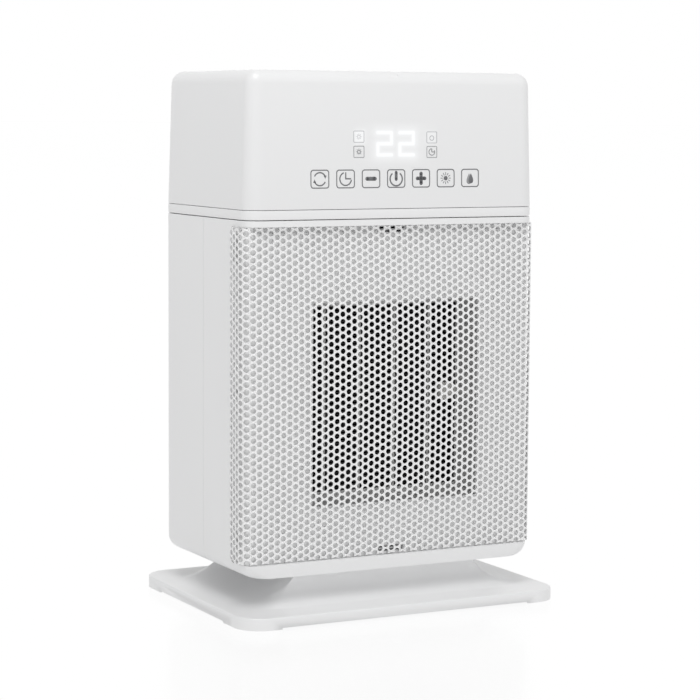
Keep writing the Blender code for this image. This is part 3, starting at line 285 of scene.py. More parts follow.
class Nodes:
    """A short hand for making and wiring shader nodes in one tree."""

    def __init__(self, tree: bpy.types.NodeTree) -> None:
        """Keep the tree that the nodes go into."""
        self.tree = tree

    def add(self, kind: str, inputs: Dict[object, object] | None = None,
            **settings: object) -> bpy.types.Node:
        """Add a node.

        Args:
            kind: the node's type name without its ShaderNode prefix.
            inputs: sockets to set, or to link where the value is another socket.
            settings: properties of the node itself.

        Returns:
            The node.
        """
        node = self.tree.nodes.new(f"ShaderNode{kind}")
        for key, value in settings.items():
            setattr(node, key, value)
        for key, value in (inputs or {}).items():
            target = node.inputs[key]
            if isinstance(value, bpy.types.NodeSocket):
                self.tree.links.new(value, target)
            else:
                target.default_value = value
        return node

    def math(self, operation: str, first: object, second: object) -> Socket:
        """One Math node's value."""
        return self.add("Math", {0: first, 1: second}, operation=operation).outputs[0]

    def spread(self, value: Socket, low: float, high: float, start: float = 0.0, end: float = 1.0) -> Socket:
        """A value's span between start and end, mapped to low and high."""
        node = self.add("MapRange", {"Value": value, "From Min": start, "From Max": end, "To Min": low,
                                     "To Max": high})
        return node.outputs["Result"]

    def blend(self, factor: Socket, first: object, second: object) -> Socket:
        """A mix of two colours, each a colour or a socket."""
        node = self.add("Mix", data_type="RGBA")
        targets = [target for target in node.inputs if target.type == "RGBA"]
        self.tree.links.new(factor, node.inputs["Factor"])
        for target, value in zip(targets, (first, second)):
            if isinstance(value, bpy.types.NodeSocket):
                self.tree.links.new(value, target)
            else:
                target.default_value = value
        return [out for out in node.outputs if out.type == "RGBA"][0]

    def link(self, value: Socket, target: Socket) -> None:
        """Join two sockets."""
        self.tree.links.new(value, target)

    def noise(self, vector: Socket, scale: object, detail: float = 2.0) -> Socket:
        """Noise of the given number of features to the metre."""
        return self.add("TexNoise", {"Vector": vector, "Scale": scale, "Detail": detail}).outputs[0]


class SharedEffects:
    """Node groups that several finishes place with their own values, each built once."""

    def __init__(self) -> None:
        """Start with no group built."""
        self.made: Dict[str, bpy.types.NodeTree] = {}

    def group(self, name: str, inputs: Dict[str, float], outputs: Sequence[str],
              fill: Callable[[Nodes, bpy.types.Node, bpy.types.Node], None]) -> bpy.types.NodeTree:
        """The named group, filled the first time it is asked for.

        Args:
            name: the group's name.
            inputs: its number inputs and their defaults, besides Vector.
            outputs: the names of its outputs.
            fill: makes the nodes between the group's input and output nodes.

        Returns:
            The group.
        """
        if name not in self.made:
            tree = bpy.data.node_groups.new(name, "ShaderNodeTree")
            tree.interface.new_socket("Vector", in_out="INPUT", socket_type="NodeSocketVector")
            for key, value in inputs.items():
                socket = tree.interface.new_socket(key, in_out="INPUT", socket_type="NodeSocketFloat")
                socket.default_value = value
            for key in outputs:
                tree.interface.new_socket(key, in_out="OUTPUT", socket_type="NodeSocketFloat")
            fill(Nodes(tree), tree.nodes.new("NodeGroupInput"), tree.nodes.new("NodeGroupOutput"))
            self.made[name] = tree
        return self.made[name]

    def moulded_grain(self) -> bpy.types.NodeTree:
        """Fine spark-eroded grain over slow flow waves, and a slow tint that drifts over the piece."""
        def fill(nodes: Nodes, source: bpy.types.Node, sink: bpy.types.Node) -> None:
            """Height is grain plus waves; Tint and Gloss are slow noises."""
            vector = source.outputs["Vector"]
            grain = nodes.noise(vector, source.outputs["Grain per Metre"], 3.0)
            waves = nodes.noise(vector, source.outputs["Waves per Metre"], 1.0)
            weighted = nodes.math("MULTIPLY", waves, source.outputs["Wave Height"])
            nodes.link(nodes.math("ADD", grain, weighted), sink.inputs["Height"])
            nodes.link(nodes.noise(vector, 14.0, 2.0), sink.inputs["Tint"])
            nodes.link(nodes.noise(vector, 55.0, 3.0), sink.inputs["Gloss"])

        inputs = {"Grain per Metre": 2600.0, "Waves per Metre": 45.0, "Wave Height": 2.0}
        return self.group("moulded_grain", inputs, ("Height", "Tint", "Gloss"), fill)

    def settled_dust(self) -> bpy.types.NodeTree:
        """Mask of dust and rubbed marks: faces that look up gather it, broken up by noise."""
        def fill(nodes: Nodes, source: bpy.types.Node, sink: bpy.types.Node) -> None:
            """Mask is the upward part of the normal times a threshold on noise."""
            normal = nodes.add("NewGeometry").outputs["Normal"]
            split = nodes.add("SeparateXYZ", {"Vector": normal})
            upward = nodes.math("MAXIMUM", split.outputs["Z"], 0.0)
            cloud = nodes.noise(source.outputs["Vector"], source.outputs["Patches per Metre"], 4.0)
            patches = nodes.spread(cloud, 0.0, 1.0, 0.45, 0.75)
            mask = nodes.math("MULTIPLY", upward, patches)
            nodes.link(nodes.math("MULTIPLY", mask, source.outputs["Amount"]), sink.inputs["Mask"])

        return self.group("settled_dust", {"Patches per Metre": 30.0, "Amount": 0.5}, ("Mask",), fill)

    def drawn_lines(self) -> bpy.types.NodeTree:
        """Streaks along Z of rolled or drawn metal."""
        def fill(nodes: Nodes, source: bpy.types.Node, sink: bpy.types.Node) -> None:
            """Streaks is noise on coordinates squeezed along Z."""
            squeezed = nodes.add("Mapping", {"Vector": source.outputs["Vector"], "Scale": (1.0, 1.0, 0.04)})
            streaks = nodes.noise(squeezed.outputs["Vector"], source.outputs["Lines per Metre"], 3.0)
            nodes.link(streaks, sink.inputs["Streaks"])

        return self.group("drawn_lines", {"Lines per Metre": 900.0}, ("Streaks",), fill)


EFFECTS = SharedEffects()


@dataclass(frozen=True)
class Finish:
    """A Principled material; the sub-classes say what varies over the surface."""

    name: str
    colour: Tuple[float, float, float] = (0.8, 0.8, 0.8)
    roughness: float = 0.4

    def start(self) -> Tuple[bpy.types.Material, Nodes, bpy.types.Node, Socket]:
        """A new material, its node helper, its shader and the object coordinates."""
        material = bpy.data.materials.new(self.name)
        material.use_nodes = True
        nodes = Nodes(material.node_tree)
        shader = material.node_tree.nodes["Principled BSDF"]
        coordinates = nodes.add("TexCoord").outputs["Object"]
        return material, nodes, shader, coordinates

    def effect(self, nodes: Nodes, tree: bpy.types.NodeTree, coordinates: Socket,
               **values: float) -> bpy.types.Node:
        """Place a shared effect with this finish's own values."""
        node = nodes.add("Group")
        node.node_tree = tree
        nodes.link(coordinates, node.inputs["Vector"])
        for key, value in values.items():
            node.inputs[key.replace("_", " ")].default_value = value
        return node

    def shade(self, factor: float) -> Tuple[float, ...]:
        """The colour made lighter or darker by a factor, with full alpha."""
        return (*(min(1.0, channel * factor) for channel in self.colour), 1.0)

    def bump(self, nodes: Nodes, shader: bpy.types.Node, height: Socket, distance: float,
             strength: float) -> None:
        """Feed a height into the shader's normal."""
        bump = nodes.add("Bump", {"Height": height, "Distance": distance, "Strength": strength})
        nodes.link(bump.outputs["Normal"], shader.inputs["Normal"])

    def build(self) -> bpy.types.Material:
        """Make the material."""
        raise NotImplementedError


@dataclass(frozen=True)
class Moulded(Finish):
    """Injection-moulded plastic: fine grain, slow waves, a drifting tint and a little settled dust."""

    tint: float = 0.012
    grain: float = 0.10
    coat: float = 0.0
    dust: float = 0.35
    subsurface: float = 0.0

    def build(self) -> bpy.types.Material:
        """Make the material."""
        material, nodes, shader, coordinates = self.start()
        grain = self.effect(nodes, EFFECTS.moulded_grain(), coordinates)
        dust = self.effect(nodes, EFFECTS.settled_dust(), coordinates, Amount=self.dust)
        base = nodes.blend(grain.outputs["Tint"], self.shade(1 - self.tint), self.shade(1 + self.tint))
        nodes.link(nodes.blend(dust.outputs["Mask"], base, self.shade(0.93)), shader.inputs["Base Color"])
        gloss = nodes.spread(grain.outputs["Gloss"], self.roughness - 0.04, self.roughness + 0.05)
        rough = nodes.math("ADD", gloss, nodes.math("MULTIPLY", dust.outputs["Mask"], 0.15))
        nodes.link(rough, shader.inputs["Roughness"])
        self.bump(nodes, shader, grain.outputs["Height"], 0.00003, self.grain)
        shader.inputs["Coat Weight"].default_value = self.coat
        shader.inputs["Coat Roughness"].default_value = 0.12
        if self.subsurface:
            shader.inputs["Subsurface Weight"].default_value = self.subsurface
            shader.inputs["Subsurface Scale"].default_value = 0.002
        return material


@dataclass(frozen=True)
class PowderCoat(Finish):
    """Baked powder on sheet steel: a pebbled skin, a little rougher in its hollows."""

    def build(self) -> bpy.types.Material:
        """Make the material."""
        material, nodes, shader, coordinates = self.start()
        pebbles = nodes.add("TexVoronoi", {"Vector": coordinates, "Scale": 2200.0}, feature="SMOOTH_F1")
        slow = nodes.noise(coordinates, 20.0, 2.0)
        nodes.link(nodes.blend(slow, self.shade(0.985), self.shade(1.01)), shader.inputs["Base Color"])
        hollows = pebbles.outputs["Distance"]
        rough = nodes.spread(hollows, self.roughness - 0.05, self.roughness + 0.06, 0.0, 0.7)
        nodes.link(rough, shader.inputs["Roughness"])
        self.bump(nodes, shader, hollows, 0.00002, 0.12)
        return material


@dataclass(frozen=True)
class Metal(Finish):
    """Rolled, drawn or plated metal: streaks in its gloss, and a slow bloom over its colour."""

    lines: float = 900.0
    bloom: float = 0.15

    def build(self) -> bpy.types.Material:
        """Make the material."""
        material, nodes, shader, coordinates = self.start()
        lines = self.effect(nodes, EFFECTS.drawn_lines(), coordinates, Lines_per_Metre=self.lines)
        slow = nodes.noise(coordinates, 90.0, 4.0)
        clouded = nodes.blend(slow, self.shade(1 - self.bloom), self.shade(1.0))
        nodes.link(clouded, shader.inputs["Base Color"])
        rough = nodes.spread(lines.outputs["Streaks"], self.roughness - 0.08, self.roughness + 0.12)
        nodes.link(rough, shader.inputs["Roughness"])
        shader.inputs["Metallic"].default_value = 1.0
        self.bump(nodes, shader, lines.outputs["Streaks"], 0.00001, 0.15)
        return material


@dataclass(frozen=True)
class Fired(Finish):
    """Fired ceramic, or rubber and board with a matt speckled face."""

    speckle: float = 0.06
    specks: float = 1500.0
    depth: float = 0.00003

    def build(self) -> bpy.types.Material:
        """Make the material."""
        material, nodes, shader, coordinates = self.start()
        specks = nodes.noise(coordinates, self.specks, 4.0)
        blotched = nodes.blend(specks, self.shade(1 - self.speckle), self.shade(1 + self.speckle))
        nodes.link(blotched, shader.inputs["Base Color"])
        nodes.link(nodes.spread(specks, self.roughness - 0.06, self.roughness + 0.08),
                             shader.inputs["Roughness"])
        self.bump(nodes, shader, specks, self.depth, 0.3)
        return material


@dataclass(frozen=True)
class Woven(Finish):
    """Fine filter cloth: crossed threads as two sets of waves."""

    threads: float = 700.0

    def build(self) -> bpy.types.Material:
        """Make the material."""
        material, nodes, shader, coordinates = self.start()
        across, up = (nodes.add("TexWave", {"Vector": coordinates, "Scale": self.threads / 6.283},
                                bands_direction=direction).outputs[1] for direction in ("X", "Z"))
        weave = nodes.math("MULTIPLY", across, up)
        nodes.link(nodes.blend(weave, self.shade(0.35), self.shade(1.0)), shader.inputs["Base Color"])
        nodes.link(nodes.spread(weave, self.roughness, self.roughness + 0.1), shader.inputs["Roughness"])
        self.bump(nodes, shader, weave, 0.0002, 0.6)
        return material


@dataclass(frozen=True)
class Ink(Finish):
    """Screen-printed ink: a matt skin with a faint screen mottle."""

    def build(self) -> bpy.types.Material:
        """Make the material."""
        material, nodes, shader, coordinates = self.start()
        mottle = nodes.noise(coordinates, 3000.0, 2.0)
        nodes.link(nodes.blend(mottle, self.shade(0.94), self.shade(1.06)), shader.inputs["Base Color"])
        nodes.link(nodes.spread(mottle, self.roughness - 0.05, self.roughness + 0.05),
                             shader.inputs["Roughness"])
        return material


@dataclass(frozen=True)
class Glow(Finish):
    """Light that comes through a thin white wall; the piece's own attribute says how much."""

    strength: float = 1.0
    attribute: str = "glow"

    def build(self) -> bpy.types.Material:
        """Make the material."""
        material, nodes, shader, coordinates = self.start()
        shine = nodes.add("Attribute", attribute_name=self.attribute).outputs["Fac"]
        shader.inputs["Base Color"].default_value = (*self.colour, 1.0)
        shader.inputs["Roughness"].default_value = self.roughness
        shader.inputs["Specular IOR Level"].default_value = 0.0
        drift = nodes.noise(coordinates, 400.0, 1.0)
        tint = nodes.blend(drift, (0.97, 0.985, 1.0, 1.0), (1.0, 1.0, 1.0, 1.0))
        nodes.link(tint, shader.inputs["Emission Color"])
        shader.inputs["Emission Strength"].default_value = self.strength
        nodes.link(shine, shader.inputs["Alpha"])
        return material


WHITE = (0.86, 0.862, 0.866)
COVER_WHITE = Moulded("cover_white", (0.865, 0.867, 0.871), 0.32, tint=0.003, grain=0.05, dust=0.0)
HOUSING_WHITE = Moulded("housing_white", WHITE, 0.36, tint=0.008, grain=0.10, dust=0.2)
# Recess white: the housing's plastic made brighter as painted light, so that the face seen through the
# grille's holes and the back of the sheet read lighter.
RECESS_PAINTED_LIGHT = Moulded("recess_painted_light", (0.95, 0.95, 0.952), 0.40, tint=0.004, grain=0.05, dust=0.05)
BASE_WHITE = Moulded("base_white", (0.865, 0.867, 0.871), 0.30, tint=0.008, grain=0.05, coat=0.1, dust=0.25)
CHANNEL_WHITE = Moulded("channel_white", (0.83, 0.83, 0.825), 0.48, tint=0.02, grain=0.15)
INNER_GREY = Moulded("inner_grey", (0.33, 0.335, 0.345), 0.5, tint=0.03, grain=0.2)
FAN_GREY = Moulded("fan_grey", (0.20, 0.205, 0.21), 0.42, tint=0.03, grain=0.15, dust=0.6)
BLACK_PLASTIC = Moulded("black_plastic", (0.022, 0.022, 0.024), 0.42, tint=0.05, grain=0.25, dust=0.25)
NATURAL_ACETAL = Moulded("natural_acetal", (0.76, 0.745, 0.70), 0.35, tint=0.02, grain=0.08, subsurface=0.2)
TANK_SMOKE = Moulded("tank_smoke", (0.30, 0.35, 0.40), 0.12, tint=0.02, grain=0.04, coat=0.3)
GRILLE_COAT = PowderCoat("grille_powder_coat", (0.775, 0.776, 0.779), 0.42)
ZINC_PLATE = Metal("zinc_plate", (0.60, 0.61, 0.62), 0.34)
# Fin strips coloured dark grey instead of bare aluminium: painted shade for the dark channel behind the
# grille.
FIN_PAINTED_SHADE = Metal("fin_painted_shade", (0.16, 0.16, 0.165), 0.50, lines=1600.0, bloom=0.35)
BAR_TUBE = Metal("bar_tube", (0.62, 0.62, 0.61), 0.45, lines=500.0, bloom=0.2)
FIRED_WHITE = Fired("fired_white", (0.82, 0.81, 0.78), 0.55)
PAD_RUBBER = Fired("pad_rubber", (0.035, 0.035, 0.036), 0.8, speckle=0.2, specks=900.0)
BOARD_GREEN = Fired("board_green", (0.03, 0.16, 0.07), 0.35, speckle=0.12, specks=260.0, depth=0.00005)
FILTER_CLOTH = Woven("filter_cloth", (0.10, 0.10, 0.105), 0.75)
KEY_INK = Ink("key_ink", (0.155, 0.157, 0.165), 0.5)
LAMP_INK = Ink("lamp_ink", (0.33, 0.335, 0.345), 0.5)
PALE_INK = Ink("pale_ink", (0.50, 0.505, 0.52), 0.5)
DIGIT_LIGHT = Glow("digit_light", (0.0, 0.0, 0.0), 0.6, strength=1.02)


class Wardrobe:
    """Keeps one material for each finish, and puts it on pieces."""

    def __init__(self) -> None:
        """Start with no material built."""
        self.made: Dict[str, bpy.types.Material] = {}

    def material(self, finish: Finish) -> bpy.types.Material:
        """The finish's material, built the first time it is asked for."""
        if finish.name not in self.made:
            self.made[finish.name] = finish.build()
        return self.made[finish.name]

    def dress(self, piece: bpy.types.Object, finish: Finish) -> bpy.types.Object:
        """Give a piece, or a carried-over node, a finish."""
        material = self.material(finish)
        if not piece.material_slots:
            piece.data.materials.append(material)
        for place in piece.material_slots:
            place.material = material
        return piece

    def add(self, piece: bpy.types.Object, finish: Finish) -> None:
        """Append a further finish to a piece, for some of its faces."""
        piece.data.materials.append(self.material(finish))

    def node(self, name: str, finish: Finish) -> None:
        """Give a CAD node a finish."""
        self.dress(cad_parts[name], finish)


WARDROBE = Wardrobe()


def deliver(piece: bpy.types.Object, finish: Finish, body: str, slot: str, *nodes: str) -> bpy.types.Object:
    """Dress a finished piece, and say what it rides on and which nodes it stands for."""
    WARDROBE.dress(piece, finish)
    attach(piece, body)
    if nodes:
        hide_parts(*nodes)
    log.info("%s: %d faces, rides on %s", piece.name, len(piece.data.polygons), body)
    return piece


# ---- Studio

@dataclass
class Studio:
    """Pale floor, soft light from all round, a large lamp over the front right, and the camera."""

    azimuth: float = math.radians(-27.358)
    distance: float = 1.47106
    height: float = 0.30844
    yaw_trim: float = math.radians(-0.017)
    pitch: float = math.radians(-5.888)
    roll: float = math.radians(0.374)
    lens: float = 119.22
    floor_level: float = 1.003
    mirror_share: float = 0.09
    floor_bounce: float = 0.98
    surround: float = 0.37
    surround_tilt: float = 0.24
    bright_side: Tuple[float, float, float] = (0.15, -0.93, 0.33)
    front_power: float = 0.3
    top_power: float = 14.5

    def camera(self) -> None:
        """Camera on a circle round the object, level axis first, then pitch and roll."""
        data = bpy.data.cameras.new("studio_camera")
        data.lens = self.lens
        data.sensor_width = 36.0
        data.clip_start = 0.05
        camera = bpy.data.objects.new("studio_camera", data)
        bpy.context.scene.collection.objects.link(camera)
        yaw = self.azimuth + self.yaw_trim
        ahead = Vector((-math.sin(yaw) * math.cos(self.pitch), math.cos(yaw) * math.cos(self.pitch),
                        math.sin(self.pitch)))
        level = ahead.cross(Vector((0, 0, 1))).normalized()
        upright = level.cross(ahead)
        right = level * math.cos(self.roll) + upright * math.sin(self.roll)
        up = upright * math.cos(self.roll) - level * math.sin(self.roll)
        turn = Matrix((right, up, -ahead)).transposed().to_4x4()
        place = Vector((math.sin(self.azimuth) * self.distance, -math.cos(self.azimuth) * self.distance,
                        self.height))
        camera.matrix_world = Matrix.Translation(place) @ turn
        bpy.context.scene.camera = camera

    def floor(self) -> None:
        """Wide round floor: a lit white sweep with a weak mirror image in it."""
        floor = turned("studio_floor", (0, 0), [(60.0, -0.02), (60.0, 0.0)], Axis.Z, count=96)
        material = bpy.data.materials.new("studio_floor")
        material.use_nodes = True
        nodes = Nodes(material.node_tree)
        bounce = nodes.add("LightPath").outputs["Is Diffuse Ray"]
        level = nodes.spread(bounce, self.floor_level, self.floor_bounce)
        lit = nodes.add("Emission", {"Color": (1.0, 1.0, 1.0, 1.0), "Strength": level})
        mirror = nodes.add("BsdfGlossy", {"Color": (1.0, 1.0, 1.0, 1.0), "Roughness": 0.20})
        mix = nodes.add("MixShader", {0: self.mirror_share, 1: lit.outputs[0], 2: mirror.outputs[0]})
        output = material.node_tree.nodes["Material Output"]
        nodes.link(mix.outputs[0], output.inputs["Surface"])
        floor.data.materials.append(material)

    def lamp(self, name: str, place: Point, target: Point, size: float, power: float) -> None:
        """Square area lamp that faces a target."""
        data = bpy.data.lights.new(name, "AREA")
        data.shape = "SQUARE"
        data.size = size
        data.energy = power
        lamp = bpy.data.objects.new(name, data)
        bpy.context.scene.collection.objects.link(lamp)
        lamp.location = place
        lamp.rotation_euler = (Vector(target) - Vector(place)).to_track_quat("-Z", "Y").to_euler()

    def light(self) -> None:
        """White surround seen by the camera, a dimmer one for the object, and two lamps."""
        world = bpy.data.worlds.new("studio_world")
        bpy.context.scene.world = world
        world.use_nodes = True
        nodes = Nodes(world.node_tree)
        seen = world.node_tree.nodes["Background"]
        seen.inputs["Color"].default_value = (1.0, 1.0, 1.0, 1.0)
        seen.inputs["Strength"].default_value = 1.0
        direction = nodes.add("TexCoord").outputs["Generated"]
        lean = nodes.add("VectorMath", {0: direction, 1: self.bright_side}, operation="DOT_PRODUCT")
        tilted = nodes.math("MULTIPLY", lean.outputs["Value"], self.surround_tilt)
        strength = nodes.math("ADD", tilted, self.surround)
        fill = nodes.add("Background", {"Color": (1.0, 1.0, 1.0, 1.0), "Strength": strength})
        mix = nodes.add("MixShader")
        path = nodes.add("LightPath")
        ray = nodes.math("MAXIMUM", path.outputs["Is Camera Ray"], path.outputs["Is Glossy Ray"])
        output = world.node_tree.nodes["World Output"]
        nodes.link(ray, mix.inputs[0])
        nodes.link(fill.outputs[0], mix.inputs[1])
        nodes.link(seen.outputs[0], mix.inputs[2])
        nodes.link(mix.outputs[0], output.inputs["Surface"])
        middle = (0.0, 0.0, 0.17)
        self.lamp("key_lamp", (0.9, -1.5, 1.3), middle, 1.2, self.front_power)
        self.lamp("top_lamp", (-0.5, -0.6, 1.8), middle, 0.9, self.top_power)
        bpy.context.scene.view_settings.view_transform = "Standard"

    def build(self) -> None:
        """Set the studio up."""
        self.camera()
        self.floor()
        self.light()
        log.info("studio ready")


# ---- Body

@dataclass
class SheetPlan:
    """Borders of the perforated sheet, shared by the grille and the seat it lies in."""

    inset_z: float = 0.0010
    tab_inset: Tuple[float, float] = (0.0029, 0.0024)

    def __post_init__(self) -> None:
        """Read the plain bent sheet's box."""
        self.low, self.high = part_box("front_grille")
        self.low_z, self.high_z = self.low[2] + self.inset_z, self.high[2] - self.inset_z

    def tab_heights(self) -> Tuple[float, float]:
        """Heights of the lower and the upper tab."""
        return self.low_z + self.tab_inset[0], self.high_z - self.tab_inset[1]


@dataclass
class BodyPlan:
    """Outline of the body seen from above, shared by the band and the head's cover."""

    front_r: float = 0.0102
    rear_r: float = 0.0190
    steps: int = 14

    def __post_init__(self) -> None:
        """Read the plan's box from the trim band."""
        self.low, self.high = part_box("trim_band")

    def outline(self, inset: float = 0.0) -> Array:
        """The outline moved inwards; its corner radii shrink by the same amount."""
        front, rear = (max(radius - inset, 0.0012) for radius in (self.front_r, self.rear_r))
        low = (self.low[0] + inset, self.low[1] + inset)
        high = (self.high[0] - inset, self.high[1] - inset)
        return rounded_rect(low, high, (rear, rear, front, front), self.steps)

    def sweep(self, profile: Sequence[Tuple[float, float]]) -> Array:
        """Rows of the outline, one for each (inset, height) of a profile."""
        return np.stack([lay(self.outline(inset), Axis.Z, z) for inset, z in profile])


@dataclass
class Housings:
    """Front and rear housing, each a smooth shell with its openings cut, its screw pillars and its wells."""

    sheet: SheetPlan
    wall: float = 0.0025
    gap: float = 0.0003
    edge: float = 0.0004
    front_r: float = 0.0102
    rear_r: float = 0.0190
    bottom_r: float = 0.0085
    face_y: float = -0.05665
    face_half: float = 0.0997
    face_r: float = 0.0065
    seat_edge_y: float = -0.0392
    corner_steps: int = 14
    pillar_x: float = 0.0780
    pillar_z: Tuple[float, float] = (0.0450, 0.2280)
    well_r: float = 0.0040
    hub_bore_r: float = 0.0223
    tab_window_half: Tuple[float, float] = (0.0090, 0.0016)
    top_groove_half: float = 0.0940
    side_slot_x: Tuple[float, float] = (0.0930, 0.1100)
    side_slots: Tuple[Tuple[float, float], ...] = ((0.0500, 0.008), (0.1390, 0.004), (0.2260, 0.018))
    side_slot_y: Tuple[float, float] = (-0.0490, -0.0446)
    side_groove_y: Tuple[float, float] = (-0.0535, -0.0496)
    wire_slot_low: Tuple[float, float] = (-0.0300, -0.0200)
    wire_slot_high: Tuple[float, float] = (0.0300, -0.0060)
    duct_lip: float = 0.0015
    intake_gap: float = 0.0004
    ledge: float = 0.0040
    ledge_lap: float = 0.0030
    ledge_depth: float = 0.0022
    well_wall: float = 0.0015
    gland_r: float = 0.0061
    switch_half: Tuple[float, float] = (0.0108, 0.0065)
    overcut: float = 0.005

    def __post_init__(self) -> None:
        """Read the boxes of the two housings and of what they hold."""
        self.front_low, self.front_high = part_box("front_housing")
        self.rear_low, self.rear_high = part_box("rear_housing")
        self.duct_low, self.duct_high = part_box("air_duct")
        self.intake_low, self.intake_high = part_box("rear_grille")

    def sections(self, end_y: float, seam_y: float, corner_r: float, half: float, low_z: float, high_z: float,
                 bottom_r: float) -> Array:
        """Upright sections from a closed end to the seam.

        At the closed end the half width is drawn in by r (1 - cos t) at a depth of r (1 - sin t), for t
        from a quarter turn down to 0, so the plan corner is a quarter circle.

        Args:
            end_y: depth of the closed end.
            seam_y: depth of the open end.
            corner_r: radius of the plan's corners at the closed end.
            half: half width.
            low_z: height of the underside.
            high_z: height of the top.
            bottom_r: radius of the two lower edges.

        Returns:
            Sections by points by 3.
        """
        towards = math.copysign(1.0, seam_y - end_y)
        turn = np.linspace(np.pi / 2, 0, self.corner_steps + 1)
        depths = np.append(end_y + towards * corner_r * (1 - np.sin(turn)), seam_y)
        insets = np.append(corner_r * (1 - np.cos(turn)), 0.0)
        outlines = [rounded_rect((-half + inset, low_z), (half - inset, high_z),
                                 (0.0006, 0.0006, bottom_r, bottom_r), 10) for inset in insets]
        return layers(outlines, depths, Axis.Y)

    def seat(self) -> bpy.types.Object:
        """Room outside the housing's face that the wrapped grille and its air gap take up."""
        far = 0.13
        face = rounded_rect((-self.face_half, self.face_y), (self.face_half, far),
                            (0.001, 0.001, self.face_r, self.face_r), 10)
        face = face[face[:, 1] < self.seat_edge_y]
        rim = np.array([[-far, self.seat_edge_y], [-far, -far], [far, -far], [far, self.seat_edge_y],
                        [self.face_half, self.seat_edge_y]])
        outline = np.vstack([rim, face[::-1], [[-self.face_half, self.seat_edge_y]]])
        levels = (self.sheet.low_z - 2 * self.gap, self.sheet.high_z + self.gap)
        return loft("seat_cutter", layers([outline] * 2, levels, Axis.Z))

    def clip_windows(self) -> List[bpy.types.Object]:
        """Slots behind the grille for its tabs, at the middle above and below, and down both sides.

        A shallow groove stands behind the sheet along its top, and one down each side.
        """
        wide, tall = self.tab_window_half
        windows = [block("window_cutter", (-wide, -0.07, z - tall), (wide, -0.05, z + tall))
                   for z in self.sheet.tab_heights()]
        top = self.sheet.high_z
        windows.append(block("groove_cutter", (-self.top_groove_half, -0.07, top - 0.0036),
                             (self.top_groove_half, self.face_y + 0.0019, top - 0.0002)))
        for side in (-1, 1):
            for z, tall in self.side_slots:
                low, high = sorted(side * x for x in self.side_slot_x)
                windows.append(block("window_cutter", (low, self.side_slot_y[0], z - tall / 2),
                                     (high, self.side_slot_y[1], z + tall / 2)))
            low, high = sorted((side * (self.face_half - 0.0012), side * self.side_slot_x[1]))
            windows.append(block("groove_cutter", (low, self.side_groove_y[0], self.sheet.low_z + 0.006),
                                 (high, self.side_groove_y[1], self.sheet.high_z - 0.001)))
        return windows

    def pillar_places(self) -> List[Tuple[float, float]]:
        """The x and z of the four screw pillars."""
        return [(side * self.pillar_x, z) for side in (-1, 1) for z in self.pillar_z]

    def hub_bore(self) -> bpy.types.Object:
        """Bore for the swivel hub through the floor."""
        floor = self.front_low[2]
        return rod("hub_cutter", (0.0, 0.0), self.hub_bore_r, Axis.Z, floor - self.overcut,
                   floor + self.wall + 0.001)

    def wire_slot(self) -> bpy.types.Object:
        """Slot for the wires through the top."""
        top = self.front_high[2]
        return block("slot_cutter", (*self.wire_slot_low, top - self.wall - 0.001),
                     (*self.wire_slot_high, top + self.overcut))

    def front(self) -> None:
        """Front shell, with the grille's seat, the channel's opening and the clip slots."""
        low_z, high_z, seam = self.front_low[2], self.front_high[2], self.front_high[1]
        half = self.front_high[0]
        outside = self.sections(self.front_low[1], seam, self.front_r, half, low_z, high_z, self.bottom_r)
        narrow = self.sections(self.face_y + self.wall, self.seat_edge_y + self.wall, self.face_r - 0.001,
                               self.face_half - self.wall, low_z + self.wall, high_z - self.wall,
                               self.bottom_r - self.wall)
        outline = rounded_rect((-half + self.wall, low_z + self.wall), (half - self.wall, high_z - self.wall),
                               (0.0006, 0.0006, self.bottom_r - self.wall, self.bottom_r - self.wall), 10)
        wide = layers([outline] * 2, (self.seat_edge_y + self.wall, seam), Axis.Y)
        shell = loft("front_shell", np.concatenate([outside, wide[::-1], narrow[::-1]]))
        lip = self.duct_lip
        opening = block("channel_cutter", (self.duct_low[0] + lip, -0.09, self.duct_low[2] + lip),
                        (self.duct_high[0] - lip, -0.05, self.duct_high[2] - lip))
        pillars = [rod("pillar", place, self.well_r, Axis.Y, self.face_y + 0.001, seam - 0.0002)
                   for place in self.pillar_places()]
        combine(shell, "UNION", pillars)
        combine(shell, "DIFFERENCE", [self.seat(), opening, self.hub_bore(), self.wire_slot()]
                + self.clip_windows())
        soften(shell, self.edge)
        deliver(shell, HOUSING_WHITE, "heater", "housing_white", "front_housing")
        self.paint_recess_light(shell)

    def middle(self, body: str) -> Tuple[float, float]:
        """The x and z of the middle of a CAD node's box."""
        low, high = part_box(body)
        return ((low[0] + high[0]) / 2, (low[2] + high[2]) / 2)

    def paint_recess_light(self, shell: bpy.types.Object) -> None:
        """Give the faces behind the grille, those inside the seat, a brighter white than the rest of the
        shell: painted light that lightens what shows through the holes.
        """
        WARDROBE.add(shell, RECESS_PAINTED_LIGHT)
        count = len(shell.data.polygons)
        centres = np.empty(count * 3, np.float32)
        shell.data.polygons.foreach_get("center", centres)
        centres = centres.reshape(-1, 3)
        behind = (centres[:, 1] < self.seat_edge_y) & (centres[:, 1] > self.face_y - 0.0010)
        between = (centres[:, 2] > self.sheet.low_z - 0.0002) & (centres[:, 2] < self.sheet.high_z + 0.0002)
        outermost = np.abs(centres[:, 0]) > self.front_high[0] - 0.0001
        shell.data.polygons.foreach_set("material_index", (behind & between & ~outermost).astype(np.int32))

